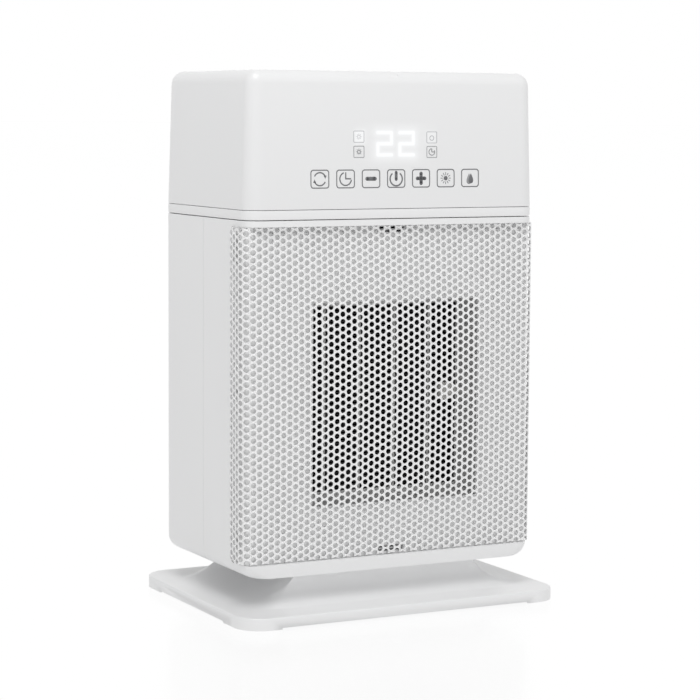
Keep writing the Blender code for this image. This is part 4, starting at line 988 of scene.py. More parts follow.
    def rear(self) -> None:
        """Rear shell, with the intake's seat and ledge, screw wells, and the switch and gland openings."""
        low_z, high_z, seam, end = self.rear_low[2], self.rear_high[2], self.rear_low[1], self.rear_high[1]
        half = self.rear_high[0]
        outside = self.sections(end, seam, self.rear_r, half, low_z, high_z, self.bottom_r)
        inside = self.sections(end - self.wall, seam, self.rear_r - self.wall, half - self.wall,
                               low_z + self.wall, high_z - self.wall, self.bottom_r - self.wall)
        shell = loft("rear_shell", np.concatenate([outside, inside[::-1]]))
        low = (self.intake_low[0] - self.intake_gap, self.intake_low[2] - self.intake_gap)
        high = (self.intake_high[0] + self.intake_gap, self.intake_high[2] + self.intake_gap)
        ledge, lap = self.ledge, self.ledge_lap
        seat_y = self.intake_low[1] - self.gap
        ring_out = rectangle((low[0] - lap, low[1] - lap), (high[0] + lap, high[1] + lap))
        ring_in = rectangle((low[0] + ledge, low[1] + ledge), (high[0] - ledge, high[1] - ledge))
        levels = (seat_y - self.ledge_depth, end - 0.001, end - 0.001, seat_y - self.ledge_depth)
        frame_ring = loft("ledge", layers([ring_out, ring_out, ring_in, ring_in], levels, Axis.Y), ring=True)
        wells = [rod("well", place, self.well_r + self.well_wall, Axis.Y, seam, end - 0.001)
                 for place in self.pillar_places()]
        combine(shell, "UNION", [frame_ring] + wells)
        cutters = [block("seat", (low[0], seat_y, low[1]), (high[0], 0.1, high[1]))]
        cutters += [rod("bore", place, self.well_r, Axis.Y, seam + self.overcut, 0.1)
                    for place in self.pillar_places()]
        cutters.append(rod("gland_hole", self.middle("cord_gland"), self.gland_r, Axis.Y, 0.06, 0.09))
        (x, z), (wide, tall) = self.middle("mains_switch"), self.switch_half
        cutters.append(block("switch_hole", (x - wide, 0.06, z - tall), (x + wide, 0.09, z + tall)))
        combine(shell, "DIFFERENCE", cutters + [self.hub_bore()])
        soften(shell, self.edge)
        deliver(shell, HOUSING_WHITE, "heater", "housing_white", "rear_housing")

    def build(self) -> None:
        """Make both shells."""
        self.front()
        self.rear()


@dataclass
class Grille:
    """Perforated sheet bowed like a pillow and bent round the corners, its holes cut at every border."""

    sheet: SheetPlan
    thickness: float = 0.0008
    bend_r: float = 0.0060
    bow: float = 0.0034
    lean: float = -0.0040
    pitch: float = 0.004512
    column: float = 0.003925
    hole_r: float = 0.00173
    phase_s: float = 0.00350
    phase_z: float = -0.0011
    low_corner_r: float = 0.0060

    def __post_init__(self) -> None:
        """Take the sheet's borders and work out its flat length."""
        self.low = (self.sheet.low[0], self.sheet.low[1], self.sheet.low_z)
        self.high = (self.sheet.high[0], self.sheet.high[1], self.sheet.high_z)
        self.side = self.high[1] - self.low[1] - self.bow - self.bend_r
        self.arc = self.bend_r * np.pi / 2
        self.face = self.high[0] - self.low[0] - 2 * self.bend_r
        self.length = 2 * (self.side + self.arc) + self.face

    def wrap(self, flat: Array) -> Array:
        """Carry points of the flat sheet (s from one side edge to the other, z) onto its bent outer face.

        Along each straight part the point moves with s; round a bend it is the bend's centre plus the
        radius times (cos t, sin t), with t the length run round the bend over the radius. The face stands
        in front of its borders by bow (1 - u^2)(1 - v^2), with u and v running from -1 to 1 across it.

        Args:
            flat: n rows of s and z.

        Returns:
            n rows by 3.
        """
        s, z = flat[:, 0], flat[:, 1]
        first, second = self.side, self.side + self.arc
        third, fourth = second + self.face, second + self.face + self.arc
        left, right, front, back = self.low[0], self.high[0], self.low[1] + self.bow, self.high[1]
        r = self.bend_r
        turn_a = np.clip((s - first) / r, 0, np.pi / 2)
        turn_b = np.clip((s - third) / r, 0, np.pi / 2)
        x = np.select([s < first, s < second, s < third, s < fourth],
                      [np.full_like(s, left), left + r - r * np.cos(turn_a), left + r + (s - second),
                       right - r + r * np.sin(turn_b)], right)
        y = np.select([s < first, s < second, s < third, s < fourth],
                      [back - s, front + r - r * np.sin(turn_a), np.full_like(s, front),
                       front + r - r * np.cos(turn_b)], front + r + (s - fourth))
        u = np.clip((s - second) / self.face, 0, 1) * 2 - 1
        v = (z - self.low[2]) / (self.high[2] - self.low[2]) * 2 - 1
        return np.stack([x, y - self.bow * (1 - u ** 2) * (1 - v ** 2), z], axis=1)

    def lower_edge(self, s: Array) -> Array:
        """Height of the sheet's lower border, rounded up at its two side edges as quarter circles."""
        from_edge = np.minimum(s, self.length - s)
        run = np.clip(self.low_corner_r - from_edge, 0, self.low_corner_r)
        return self.low[2] + self.low_corner_r - np.sqrt(self.low_corner_r ** 2 - run ** 2)

    def cells(self) -> Tuple[Array, Array]:
        """Flat hexagonal cells, each a ring of triangles between its six corners and a 12-sided hole.

        Columns stand sqrt(3) / 2 of the pitch apart, and every other one is raised by half the pitch. A
        border cuts the cells because points past it are moved straight onto it, and triangles that this
        flattens are left out.
        """
        reach = int(self.length / self.column / 2) + 2
        columns = np.arange(-reach, reach + 1)
        rows = np.arange(-1, int((self.high[2] - self.low[2]) / self.pitch) + 3)
        grid_c, grid_r = (g.ravel() for g in np.meshgrid(columns, rows, indexing="ij"))
        centre_z = self.low[2] + self.phase_z + (grid_r + 0.5 * (np.abs(grid_c + 1) % 2)) * self.pitch
        centre_s = (self.length / 2 + self.phase_s + grid_c * self.column
                    + self.lean * (centre_z - (self.low[2] + self.high[2]) / 2))
        corner_turn = np.arange(6) * np.pi / 3
        corner_reach = self.column * 2 / 3
        hole_turn = np.arange(12) * np.pi / 6
        corners = corner_reach * np.stack([np.cos(corner_turn), np.sin(corner_turn) * self.pitch
                                           / (corner_reach * np.sqrt(3))], axis=1)
        holes = self.hole_r * np.stack([np.cos(hole_turn), np.sin(hole_turn)], axis=1)
        local = np.vstack([corners, holes])
        points = np.stack([centre_s, centre_z], axis=1)[:, None, :] + local[None, :, :]
        side = np.arange(6)
        c0, c1 = side, (side + 1) % 6
        h0, h1, h2 = 6 + 2 * side, 6 + 2 * side + 1, 6 + (2 * side + 2) % 12
        corners = ((c0, h1, h0), (c0, c1, h1), (c1, h2, h1))
        pattern = np.concatenate([np.stack(corner, 1) for corner in corners])
        faces = (np.arange(len(points))[:, None, None] * len(local) + pattern[None]).reshape(-1, 3)
        flat = points.reshape(-1, 2)
        flat[:, 0] = np.clip(flat[:, 0], 0.0, self.length)
        flat[:, 1] = np.clip(flat[:, 1], self.lower_edge(flat[:, 0]), self.high[2])
        _, first, number = np.unique(np.round(flat / 2e-6).astype(np.int64), axis=0, return_index=True,
                                     return_inverse=True)
        flat, faces = flat[first], number.ravel()[faces]
        a, b, c = (flat[faces[:, k]] for k in range(3))
        area = (b[:, 0] - a[:, 0]) * (c[:, 1] - a[:, 1]) - (b[:, 1] - a[:, 1]) * (c[:, 0] - a[:, 0])
        faces = faces[np.abs(area) > 1e-11]
        used, faces = np.unique(faces, return_inverse=True)
        return flat[used], faces.reshape(-1, 3)

    def build(self) -> None:
        """Wrap the cells, give the sheet its thickness, and hook its two tabs in."""
        flat, faces = self.cells()
        sheet = surface("perforated_grille", self.wrap(flat), [faces[:, ::-1]], closed=False, crease=50.0)
        solid = sheet.modifiers.new("thickness", "SOLIDIFY")
        solid.thickness = self.thickness
        solid.offset = -1.0
        solid.use_rim = True
        solid.material_offset = 1
        # The skin that the thickness adds behind the sheet takes the recess's brighter white: painted light
        # that sends more light back into the holes.
        WARDROBE.add(sheet, GRILLE_COAT)
        WARDROBE.add(sheet, RECESS_PAINTED_LIGHT)
        settle(sheet)
        deliver(sheet, GRILLE_COAT, "heater", "grille_steel", "front_grille")
        sheet.material_slots[1].material = WARDROBE.material(RECESS_PAINTED_LIGHT)
        root = self.low[1] + self.bow + self.thickness
        for number, z in enumerate(self.sheet.tab_heights(), 1):
            tab = block(f"grille_tab_{number}", (-0.0080, root, z - 0.0005), (0.0080, -0.0520, z + 0.0005))
            deliver(soften(tab, 0.0002), GRILLE_COAT, "heater", "grille_steel")


# ---- Heating channel and fan

@dataclass
class HeatingChannel:
    """Folded fin packs between upright heating bars, in a pale frame inside the channel."""

    strip: float = 0.00022
    folds: int = 76

    def fin_pack(self, number: int) -> None:
        """Strip folded to and fro: across at one height, up by one step at the far side, and back."""
        name = f"fin_pack_{number}"
        low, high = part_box(name)
        heights = np.linspace(low[2] + self.strip, high[2] - self.strip, self.folds)
        half = self.strip / 2
        ends = np.where(np.arange(self.folds)[:, None] % 2 == 0, [[low[0] + half, high[0] - half]],
                        [[high[0] - half, low[0] + half]])
        path = np.stack([ends, np.repeat(heights[:, None], 2, axis=1)], axis=-1).reshape(-1, 2)
        pack = strip(f"folded_fins_{number}", path, self.strip, Axis.Y, low[1], high[1])
        deliver(pack, FIN_PAINTED_SHADE, "heater", "fin_aluminium", name)

    def bar(self, number: int) -> None:
        """Flattened tube with rounded edges that holds the ceramic stones."""
        name = f"ptc_bar_{number}"
        low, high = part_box(name)
        radius = (high[0] - low[0]) * 0.45
        outline = rounded_rect((low[0], low[1]), (high[0], high[1]), (radius,) * 4, 6)
        tube = loft(f"heating_bar_{number}", layers([outline] * 2, (low[2], high[2]), Axis.Z))
        deliver(tube, BAR_TUBE, "heater", "ceramic", name)

    def build(self) -> None:
        """Make the packs and bars, and dress the rest of the channel."""
        for number in range(1, 6):
            self.fin_pack(number)
        for number in range(1, 5):
            self.bar(number)
        WARDROBE.node("air_duct", CHANNEL_WHITE)
        WARDROBE.node("ptc_frame", CHANNEL_WHITE)
        WARDROBE.node("thermal_fuse", FIRED_WHITE)
        WARDROBE.node("thermal_cutout", BLACK_PLASTIC)


@dataclass
class Fan:
    """Axial rotor with smooth twisted blades; its shroud and motor keep their shapes."""

    blades: int = 7
    hub_r: float = 0.0200
    thickness: float = 0.0014
    radial_steps: int = 16
    chord_steps: int = 14

    def __post_init__(self) -> None:
        """Read the rotor's box."""
        self.low, self.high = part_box("fan_rotor")
        self.centre = ((self.low[0] + self.high[0]) / 2, (self.low[2] + self.high[2]) / 2)
        self.tip_r = (self.high[2] - self.low[2]) / 2
        self.middle_y = (self.low[1] + self.high[1]) / 2

    def blade(self, number: int) -> bpy.types.Object:
        """One blade: a grid of radius by chord, lifted to either side, whose pitch falls towards the tip."""
        share, across = np.meshgrid(np.linspace(0, 1, self.radial_steps),
                                    np.linspace(-0.5, 0.5, self.chord_steps), indexing="ij")
        radius = self.hub_r - 0.001 + (self.tip_r - self.hub_r + 0.001) * share
        chord = np.radians(46 - 6 * share)
        angle = number * 2 * np.pi / self.blades + np.radians(14) * share + chord * across
        taper = np.sqrt(np.clip(1 - (2 * across) ** 4, 0.05, 1))
        depth = self.middle_y + (0.0145 - 0.0050 * share) * across - 0.0018 * (1 - 4 * across ** 2)
        skins = [np.stack([self.centre[0] + radius * np.cos(angle), depth + side * self.thickness / 2 * taper,
                           self.centre[1] + radius * np.sin(angle)], axis=-1) for side in (1, -1)]
        return loft("blade", np.concatenate([skins[0], skins[1][:, ::-1]], axis=1))

    def build(self) -> None:
        """Join the blades onto a domed hub, and dress the shroud, shaft and motor."""
        front, back = self.low[1], self.high[1]
        dome = [(self.hub_r * 0.55, front), (self.hub_r * 0.86, front + 0.0006),
                (self.hub_r * 0.97, front + 0.0022),
                (self.hub_r, front + 0.0045), (self.hub_r, back), (0.0026, back), (0.0026, front + 0.002)]
        rotor = turned("rotor", self.centre, dome, Axis.Y, count=56)
        combine(rotor, "UNION", [self.blade(number) for number in range(self.blades)])
        deliver(rotor, FAN_GREY, "fan", "inner_grey", "fan_rotor")
        WARDROBE.node("fan_shroud", CHANNEL_WHITE)
        WARDROBE.node("fan_motor", ZINC_PLATE)
        WARDROBE.node("fan_shaft", ZINC_PLATE)


# ---- Head

@dataclass
class Head:
    """Trim band, the smooth drafted cover with its tank bay and mist outlet, and the tank."""

    plan: BodyPlan
    draft: float = math.radians(1.7)
    fillet_r: float = 0.0080
    wall: float = 0.0025
    edge: float = 0.0003
    fillet_steps: int = 14
    dent_r: float = 0.0045
    dent_depth: float = 0.0004
    dent_half: float = 0.0028

    def __post_init__(self) -> None:
        """Read the boxes of the cover, band and tank."""
        self.low, self.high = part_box("top_cover")
        self.band_low, self.band_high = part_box("trim_band")
        self.tank_low, self.tank_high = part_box("water_tank")
        self.outlet_low, self.outlet_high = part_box("mist_outlet")

    def front_plane(self, z: Array) -> Array:
        """Depth of the cover's front face at a height: the front edge moved back by the draft."""
        return self.plan.low[1] + math.tan(self.draft) * (z - self.low[2])

    def band(self) -> None:
        """Band with a small radius along its upper and lower edge."""
        r = 0.0005
        turn = np.linspace(0, np.pi / 2, 4)
        low, high = self.band_low[2], self.band_high[2]
        profile = [(r * (1 - math.sin(t)), low + r * (1 - math.cos(t))) for t in turn]
        profile += [(r * (1 - math.cos(t)), high - r * (1 - math.sin(t))) for t in turn]
        profile += [(0.0030, high), (0.0030, low)]
        ring = loft("band", self.plan.sweep(profile), ring=True)
        deliver(ring, HOUSING_WHITE, "heater", "housing_white", "trim_band")

    def cover_profile(self, offset: float, edge: float) -> List[Tuple[float, float]]:
        """Insets and heights from the rim up: a small edge radius, the drafted side, the fillet."""
        top, radius = self.high[2] - offset, self.fillet_r - offset
        turn = np.linspace(0, np.pi / 2, 4) if edge else []
        profile = [(offset + edge * (1 - math.sin(t)), self.low[2] + edge * (1 - math.cos(t))) for t in turn]
        if not edge:
            profile = [(offset, self.low[2])]
        for t in np.linspace(0, np.pi / 2, self.fillet_steps + 1):
            z = top - radius * (1 - math.sin(t))
            lean = math.tan(self.draft) * (z - self.low[2])
            profile.append((offset + lean + radius * (1 - math.cos(t)), z))
        return profile

    def crown(self, rows: int = 10) -> List[Tuple[float, float]]:
        """Flat top carried in towards the middle, so that its faces stay even in size."""
        inset, z = self.cover_profile(0.0, 0.0)[-1]
        return [(inset + 0.004 * step, z) for step in range(1, rows)]

    def cover(self) -> None:
        """Cover with its bay, outlet hole and the small dent in the middle of its front top edge."""
        outside = self.cover_profile(0.0, self.edge) + self.crown()
        inside = self.cover_profile(self.wall, 0.0)
        shell = loft("head_cover", np.concatenate([self.plan.sweep(outside)[::-1], self.plan.sweep(inside)]))
        bay = 0.0004
        cutters = [block("bay", (self.tank_low[0] - bay, 0.06, self.tank_low[2] - bay),
                         (self.tank_high[0] + bay, 0.1, self.tank_high[2] + bay))]
        centre = tuple((self.outlet_low[k] + self.outlet_high[k]) / 2 for k in (0, 1))
        radius = (self.outlet_high[1] - self.outlet_low[1]) / 2 + 0.0003
        cutters.append(rod("outlet", centre, radius, Axis.Z, 0.31, 0.34))
        inset, height = self.cover_profile(0.0, 0.0)[1 + self.fillet_steps // 2]
        out = (self.dent_r - self.dent_depth) * math.sqrt(0.5)
        cutters.append(rod("dent", (self.plan.low[1] + inset - out, height + out), self.dent_r, Axis.X,
                           -self.dent_half, self.dent_half, 64))
        combine(shell, "DIFFERENCE", cutters)
        soften(shell, 0.0004, angle=50.0)
        deliver(shell, COVER_WHITE, "heater", "cover_white", "top_cover")

    def build(self) -> None:
        """Make the band and cover, and dress what the head holds."""
        self.band()
        self.cover()
        for name in ("display_board", "main_board"):
            WARDROBE.node(name, BOARD_GREEN)
        for name in ("display_module", "relay"):
            WARDROBE.node(name, BLACK_PLASTIC)
        WARDROBE.node("head_tray", INNER_GREY)
        WARDROBE.node("water_tank", TANK_SMOKE)
        WARDROBE.node("mist_chamber", TANK_SMOKE)
        WARDROBE.node("mist_transducer", ZINC_PLATE)
        WARDROBE.node("mist_outlet", HOUSING_WHITE)
        WARDROBE.node("tank_cap", HOUSING_WHITE)


class Symbol(Enum):
    """What each touch key shows, from left to right."""

    SWING = 0
    TIMER = 1
    LESS = 2
    POWER = 3
    MORE = 4
    HEAT = 5
    MIST = 6


class Print:
    """Flat artwork in the cover's x and z, gathered from strokes and filled shapes."""

    def __init__(self) -> None:
        """Start with no artwork."""
        self.points: List[Array] = []
        self.groups: List[Array] = []
        self.count = 0

    def add(self, points: Array, faces: Array) -> None:
        """Add points and the faces between them."""
        self.points.append(points)
        self.groups.append(np.asarray(faces) + self.count)
        self.count += len(points)

    def fill(self, outline: Array) -> None:
        """Fill a closed outline that its own centre sees all of, with a fan round that centre."""
        ring = np.arange(len(outline))
        centre = np.full(len(outline), len(outline))
        fan = np.stack([centre, ring, np.roll(ring, -1)], axis=1)
        self.add(np.vstack([outline, outline.mean(axis=0)]), fan)

    def band(self, outer: Array, inner: Array) -> None:
        """Fill the space between two closed outlines of equal length."""
        ring = np.arange(len(outer))
        after = np.roll(ring, -1)
        quads = np.stack([ring, after, after + len(outer), ring + len(outer)], axis=1)
        self.add(np.vstack([outer, inner]), quads)

    def stroke(self, path: Array, width: float, round_ends: bool = False) -> None:
        """Line of a width along an open path: points half the width to either side of it."""
        steps = np.gradient(path, axis=0)
        steps /= np.linalg.norm(steps, axis=1, keepdims=True)
        side = np.stack([-steps[:, 1], steps[:, 0]], axis=1) * width / 2
        row = np.arange(len(path) - 1)
        quads = np.stack([row, row + 1, row + 1 + len(path), row + len(path)], axis=1)
        self.add(np.vstack([path + side, path - side]), quads)
        if round_ends:
            for end in (path[0], path[-1]):
                self.fill(circle(end, width / 2, 20))

    def frame(self, centre: Point, size: Point, radius: float, width: float) -> None:
        """Rounded rectangular outline of a line width."""
        half = np.asarray(size, float) / 2
        middle = np.asarray(centre, float)
        outer = rounded_rect(middle - half, middle + half, (radius,) * 4, 8)
        inner = rounded_rect(middle - half + width, middle + half - width, (radius - width * 0.8,) * 4, 8)
        self.band(outer, inner)

    def arc(self, centre: Point, radius: float, start: float, end: float, width: float,
            round_ends: bool = False) -> None:
        """Arc of a line width, with its angles in degrees."""
        turn = np.radians(np.linspace(start, end, 28))
        path = np.asarray(centre, float) + radius * np.stack([np.cos(turn), np.sin(turn)], axis=1)
        self.stroke(path, width, round_ends)

    def drop(self, centre: Point, size: float) -> None:
        """Drop: a circle below whose sides run together into a point above."""
        turn = np.linspace(0, 2 * np.pi, 40, endpoint=False)
        narrow = np.sin(turn / 2) ** 1.4
        outline = np.stack([size * 0.92 * narrow * np.sin(turn), size * 1.25 * np.cos(turn)], axis=1)
        self.fill(np.asarray(centre, float) + outline[::-1])

    def make(self, name: str, depth: Callable[[Array], Array], lift: float, finish: Finish, body: str,
             slot: str) -> bpy.types.Object:
        """Lay the artwork on a plane, a little proud of it, as a thin closed skin.

        Args:
            name: the piece's name.
            depth: gives the plane's y at a height.
            lift: how far in front of the plane the skin stands.
            finish: its finish.
            body: the body that it rides on.
            slot: its slot; it is not used.

        Returns:
            The piece.
        """
        flat = np.vstack(self.points)
        points = np.stack([flat[:, 0], depth(flat[:, 1]) - lift, flat[:, 1]], axis=1)
        by_size: Dict[int, List[Array]] = {}
        for group in self.groups:
            by_size.setdefault(group.shape[1], []).append(group)
        groups = []
        for members in by_size.values():
            faces = np.concatenate(members)
            corners = flat[faces]
            following = np.roll(corners, -1, axis=1)
            area = (corners[..., 0] * following[..., 1] - corners[..., 1] * following[..., 0]).sum(axis=1)
            faces[area < 0] = faces[area < 0][:, ::-1]
            groups.append(faces)
        piece = surface(name, points, groups, closed=False)
        solid = piece.modifiers.new("skin", "SOLIDIFY")
        solid.thickness = lift * 0.8
        solid.offset = -1.0
        settle(piece)
        return deliver(piece, finish, body, slot)


@dataclass
class ControlPanel:
    """Printed touch keys, lamp windows, and the digits that shine through the cover."""

    head: Head
    key_step: float = 0.01735
    key_z: float = 0.2676
    key_size: Tuple[float, float] = (0.0126, 0.0113)
    key_line: float = 0.00062
    key_radius: float = 0.0019
    lamp_size: Tuple[float, float] = (0.0074, 0.0072)
    digit_low: float = 0.2820
    digit_high: float = 0.2955
    digit_half: float = 0.0047
    digit_x: Tuple[float, float] = (-0.0078, 0.0074)
    digit_line: float = 0.0026

    def key(self, art: Print, pale: Print, symbol: Symbol) -> None:
        """One key's frame and symbol.

        Args:
            art: takes the dark strokes.
            pale: takes the paler ones.
            symbol: which key it is.
        """
        x, z = (symbol.value - 3) * self.key_step, self.key_z
        art.frame((x, z), self.key_size, self.key_radius, self.key_line)
        line = 0.00078
        if symbol is Symbol.SWING:
            art.arc((x, z), 0.0039, 25, 155, line)
            art.arc((x, z), 0.0039, 205, 335, line)
            for side in (-1, 1):
                tip = np.array([x + side * 0.00372, z + side * 0.00075])
                art.fill(tip + side * np.array([[0.0008, 0.0014], [-0.0012, 0.0014], [-0.0001, -0.0006]]))
        elif symbol is Symbol.TIMER:
            art.arc((x, z), 0.0039, 108, 352, line)
            art.stroke(np.array([[x + 0.0001, z + 0.0040], [x + 0.0001, z + 0.0001]]), line)
            art.stroke(np.array([[x - 0.0002, z + 0.0001], [x + 0.0037, z + 0.0001]]), line)
        elif symbol is Symbol.LESS:
            art.stroke(np.array([[x - 0.0027, z], [x + 0.0027, z]]), 0.0024, True)
        elif symbol is Symbol.POWER:
            art.arc((x, z - 0.0002), 0.0042, 128, 412, line * 1.15)
            art.stroke(np.array([[x, z - 0.0005], [x, z + 0.0038]]), 0.0019, True)
        elif symbol is Symbol.MORE:
            art.stroke(np.array([[x - 0.0026, z], [x + 0.0026, z]]), 0.0022, True)
            art.stroke(np.array([[x, z - 0.0030], [x, z + 0.0030]]), 0.0022, True)
        elif symbol is Symbol.HEAT:
            art.fill(circle((x, z), 0.0014, 28))
            for turn in np.radians(np.arange(12) * 30):
                ray = np.array([math.cos(turn), math.sin(turn)])
                art.stroke(np.array([x, z]) + np.outer([0.0020, 0.0036], ray), 0.00042)
        else:
            pale.drop((x - 0.0007, z - 0.0004), 0.0027)
            art.drop((x + 0.0006, z - 0.0002), 0.0025)

    def lamps(self, art: Print, pale: Print) -> None:
        """Four small lamp windows beside the digits.

        Args:
            art: takes the dark strokes.
            pale: takes the paler ones.
        """
        line = 0.00042
        for (x, z), ink in (((-0.0255, 0.2930), pale), ((-0.0255, 0.2839), art), ((0.0250, 0.2926), pale),
                            ((0.0250, 0.2837), art)):
            ink.frame((x, z), self.lamp_size, 0.0007, line)
        pale.band(circle((-0.0255, 0.2930), 0.0011, 24), circle((-0.0255, 0.2930), 0.0008, 24))
        art.band(circle((-0.0255, 0.2839), 0.0013, 24), circle((-0.0255, 0.2839), 0.0007, 24))
        for centre, ink, reach in (((-0.0255, 0.2930), pale, 0.0018), ((-0.0255, 0.2839), art, 0.0020)):
            for turn in np.radians(np.arange(8) * 45):
                ray = np.array([math.cos(turn), math.sin(turn)])
                ink.stroke(np.asarray(centre) + np.outer([0.0014, reach], ray), 0.00035)
        pale.arc((0.0250, 0.2922), 0.0014, 60, 420, 0.00045)
        art.arc((0.0250, 0.2837), 0.0020, 100, 390, 0.00055)
        art.stroke(np.array([[0.0250, 0.2857], [0.0250, 0.2837]]), 0.00055)
        art.stroke(np.array([[0.0250, 0.2837], [0.0270, 0.2837]]), 0.00055)

    def digit_lines(self) -> List[Tuple[Array, Array]]:
        """Start and end of each lit stroke of the two digits."""
        low, high = self.digit_low, self.digit_high
        middle, half = (low + high) / 2, self.digit_half
        lines = []
        for x in self.digit_x:
            corners = np.array([[x - half, high], [x + half, high], [x + half, middle], [x - half, middle],
                                [x - half, low], [x + half, low]])
            lines += list(zip(corners[:-1], corners[1:]))
        return lines

    def distance(self, points: Array) -> Array:
        """Distance from points to the nearest lit stroke.

        For each stroke from a to b, the nearest point is a + t (b - a), with t the projection of the
        point onto the stroke, held between 0 and 1.
        """
        nearest = np.full(len(points), np.inf)
        for a, b in self.digit_lines():
            along = b - a
            t = np.clip(((points - a) @ along) / (along @ along), 0, 1)
            nearest = np.minimum(nearest, np.linalg.norm(points - (a + t[:, None] * along), axis=1))
        return nearest

    def light(self) -> None:
        """Patch in front of the cover that shines most along the strokes and fades away from them."""
        xs = np.arange(-0.0300, 0.0300, 0.00025)
        zs = np.arange(0.2740, 0.3035, 0.00025)
        grid_x, grid_z = np.meshgrid(xs, zs)
        flat = np.stack([grid_x.ravel(), grid_z.ravel()], axis=1)
        away = self.distance(flat)
        core = 1 / (1 + np.exp((away - self.digit_line / 2) / 0.00022))
        halo = 0.42 * np.exp(-np.clip(away - self.digit_line / 2, 0, None) / 0.0028)
        lamps = 0.0
        for centre, amount in (((-0.0255, 0.2930), 0.55), ((0.0250, 0.2926), 0.25)):
            offset = np.abs(flat - np.asarray(centre)) - np.asarray(self.lamp_size) / 2 + 0.0004
            outside = np.linalg.norm(np.clip(offset, 0, None), axis=1)
            lamps = lamps + amount * np.exp(-outside / 0.0012)
        edge = np.minimum(np.minimum(flat[:, 0] - xs[0], xs[-1] - flat[:, 0]),
                          np.minimum(flat[:, 1] - zs[0], zs[-1] - flat[:, 1]))
        glow = np.clip(np.maximum(core, halo) + lamps, 0, 1) * np.clip(edge / 0.003, 0, 1)
        keep = glow > 0.004
        points = np.stack([flat[:, 0], self.head.front_plane(flat[:, 1]) - 0.00002, flat[:, 1]], axis=1)
        number = np.arange(len(flat)).reshape(grid_x.shape)
        quads = grid_faces(number, False)
        quads = quads[keep[quads].any(axis=1)]
        used, quads = np.unique(quads, return_inverse=True)
        patch = surface("display_light", points[used], [quads.reshape(-1, 4)], closed=False)
        attribute = patch.data.attributes.new("glow", "FLOAT", "POINT")
        attribute.data.foreach_set("value", glow[used].astype(np.float32))
        deliver(patch, DIGIT_LIGHT, "heater", "cover_white")

    def build(self) -> None:
        """Print the keys and lamps, and light the digits."""
        keys, key_pale, lamps, lamps_pale = Print(), Print(), Print(), Print()
        for symbol in Symbol:
            self.key(keys, key_pale, symbol)
        self.lamps(lamps, lamps_pale)
        for art, name, finish, lift in ((keys, "key_prints", KEY_INK, 0.00006),
                                        (key_pale, "key_pale_prints", LAMP_INK, 0.00005),
                                        (lamps, "lamp_prints", LAMP_INK, 0.00006),
                                        (lamps_pale, "lamp_pale_prints", PALE_INK, 0.00006)):
            art.make(name, self.head.front_plane, lift, finish, "heater", "inner_grey")
        self.light()


# ---- Base

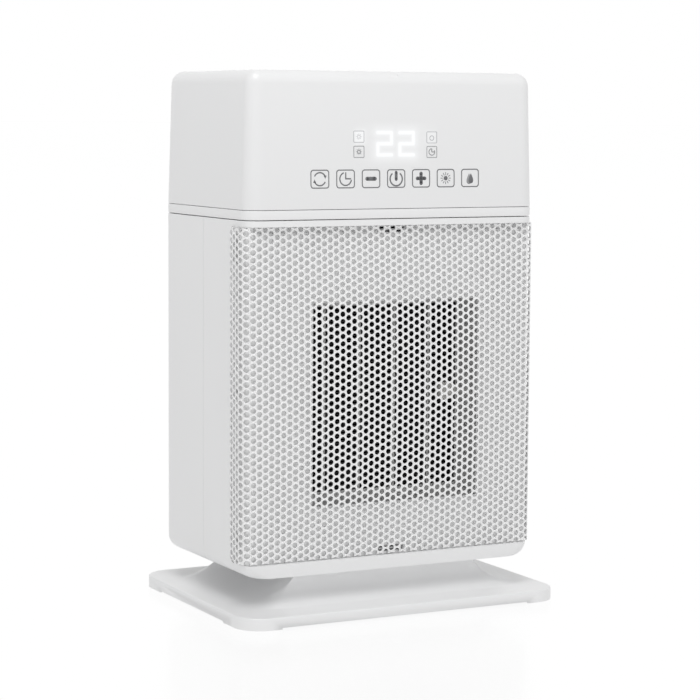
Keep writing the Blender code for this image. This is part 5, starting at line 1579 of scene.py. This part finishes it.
@dataclass
class Foot:
    """Plate with a raised pedestal whose corner creases fade out towards the rim."""

    corner_r: float = 0.0175
    rim_top: float = 0.0078
    rim_r: float = 0.0010
    neck_z: float = 0.0246
    neck_half: Tuple[float, float] = (0.0630, 0.0497)
    flare_r: float = 0.0520
    flare_start: float = math.radians(41)
    flare_y_rate: float = 17.5
    crease_fade_r: float = 0.0270
    wall: float = 0.0022
    steps: int = 14
    flare_levels: int = 28

    def __post_init__(self) -> None:
        """Read the base's box."""
        self.low, self.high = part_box("base_shell")

    def plate(self, inset: float) -> Array:
        """Plate outline moved inwards."""
        half = (self.high[0] - inset, self.high[1] - inset)
        radius = max(self.corner_r - inset, 0.002)
        return rounded_rect((-half[0], -half[1]), half, (radius,) * 4, self.steps)

    def pedestal(self, z: float, inset: float) -> Array:
        """Pedestal section at a height.

        The sides lie on an arc: at a depth d below the neck its tilt from upright has a sine of
        sin(start) + d / r, and the half width grows by r (cos(start) - cos(tilt)). The ends grow with d
        squared. The corner radius grows with the cube of the depth, so the crease fades.

        Args:
            z: the height.
            inset: how far inwards the section is moved.

        Returns:
            The outline, as n rows by 2.
        """
        depth = self.neck_z - z
        tilt = math.asin(math.sin(self.flare_start) + depth / self.flare_r)
        radius = self.crease_fade_r * (depth / (self.neck_z - self.rim_top)) ** 3 + 0.0006
        spread = radius * (1 - math.sqrt(0.5))
        flare = self.flare_r * (math.cos(self.flare_start) - math.cos(tilt))
        half_x = self.neck_half[0] + flare + spread - inset
        half_y = self.neck_half[1] + self.flare_y_rate * depth ** 2 + spread - inset
        return rounded_rect((-half_x, -half_y), (half_x, half_y), (radius,) * 4, self.steps)

    def build(self) -> None:
        """Make the shell in one loft from the neck's bore, out over the rim, and back underneath."""
        heights = np.linspace(self.neck_z, self.rim_top, self.flare_levels)
        bore = circle((0, 0), 0.0223, 4 * (self.steps + 1))
        turn = np.linspace(0, np.pi / 2, 6)
        rim = [(self.plate(self.rim_r * (1 - math.sin(t))), self.rim_top - self.rim_r * (1 - math.cos(t)))
               for t in turn]
        bottom = self.low[2]
        rows = [(bore, self.neck_z)] + [(self.pedestal(z, 0.0), z) for z in heights] + rim
        rows += [(self.plate(0.0), bottom), (self.plate(self.wall), bottom),
                 (self.plate(self.wall), self.rim_top - self.wall)]
        rows += [(self.pedestal(z, 0.0025), z - self.wall) for z in heights[::-1]]
        rows.append((bore, self.neck_z - self.wall))
        outlines, levels = zip(*rows)
        shell = loft("base_moulding", layers(outlines, levels, Axis.Z), ring=True, crease=28.0)
        lift, far = 0.0010, 0.2
        combine(shell, "DIFFERENCE", [block("span_x", (-0.0860, -far, -far), (0.0860, far, bottom + lift)),
                                      block("span_y", (-far, -0.0490, -far), (far, 0.0490, bottom + lift))])
        deliver(shell, BASE_WHITE, "base", "base_white", "base_shell")
        WARDROBE.node("base_bottom", INNER_GREY)
        for number in range(1, 5):
            WARDROBE.node(f"foot_{number}", PAD_RUBBER)
            WARDROBE.node(f"base_screw_{number}", ZINC_PLATE)


@dataclass
class Drive:
    """Swivel parts in the neck and pedestal, which keep their shapes."""

    def build(self) -> None:
        """Dress the swivel's pieces."""
        for name in ("swivel_bearing", "swivel_gear", "drive_pinion"):
            WARDROBE.node(name, NATURAL_ACETAL)
        for name in ("swivel_motor", "retaining_clip"):
            WARDROBE.node(name, ZINC_PLATE)
        WARDROBE.node("swivel_hub", INNER_GREY)


# ---- Rear

@dataclass
class Rear:
    """Intake cover with its dust filter, mains switch, cord gland and screws."""

    def build(self) -> None:
        """Dress the rear's pieces."""
        WARDROBE.node("rear_grille", HOUSING_WHITE)
        WARDROBE.node("dust_filter", FILTER_CLOTH)
        for name in ("mains_switch", "switch_rocker", "cord_gland", "tilt_switch"):
            WARDROBE.node(name, BLACK_PLASTIC)
        for number in range(1, 5):
            WARDROBE.node(f"housing_screw_{number}", ZINC_PLATE)


def main() -> None:
    """Build the sub-assemblies in order."""
    logging.basicConfig(level=logging.INFO, format="%(name)s: %(message)s")
    Studio().build()
    Foot().build()
    Drive().build()
    sheet = SheetPlan()
    Housings(sheet).build()
    Grille(sheet).build()
    HeatingChannel().build()
    Fan().build()
    head = Head(BodyPlan())
    head.build()
    ControlPanel(head).build()
    Rear().build()


if __name__ == "__main__":
    main()
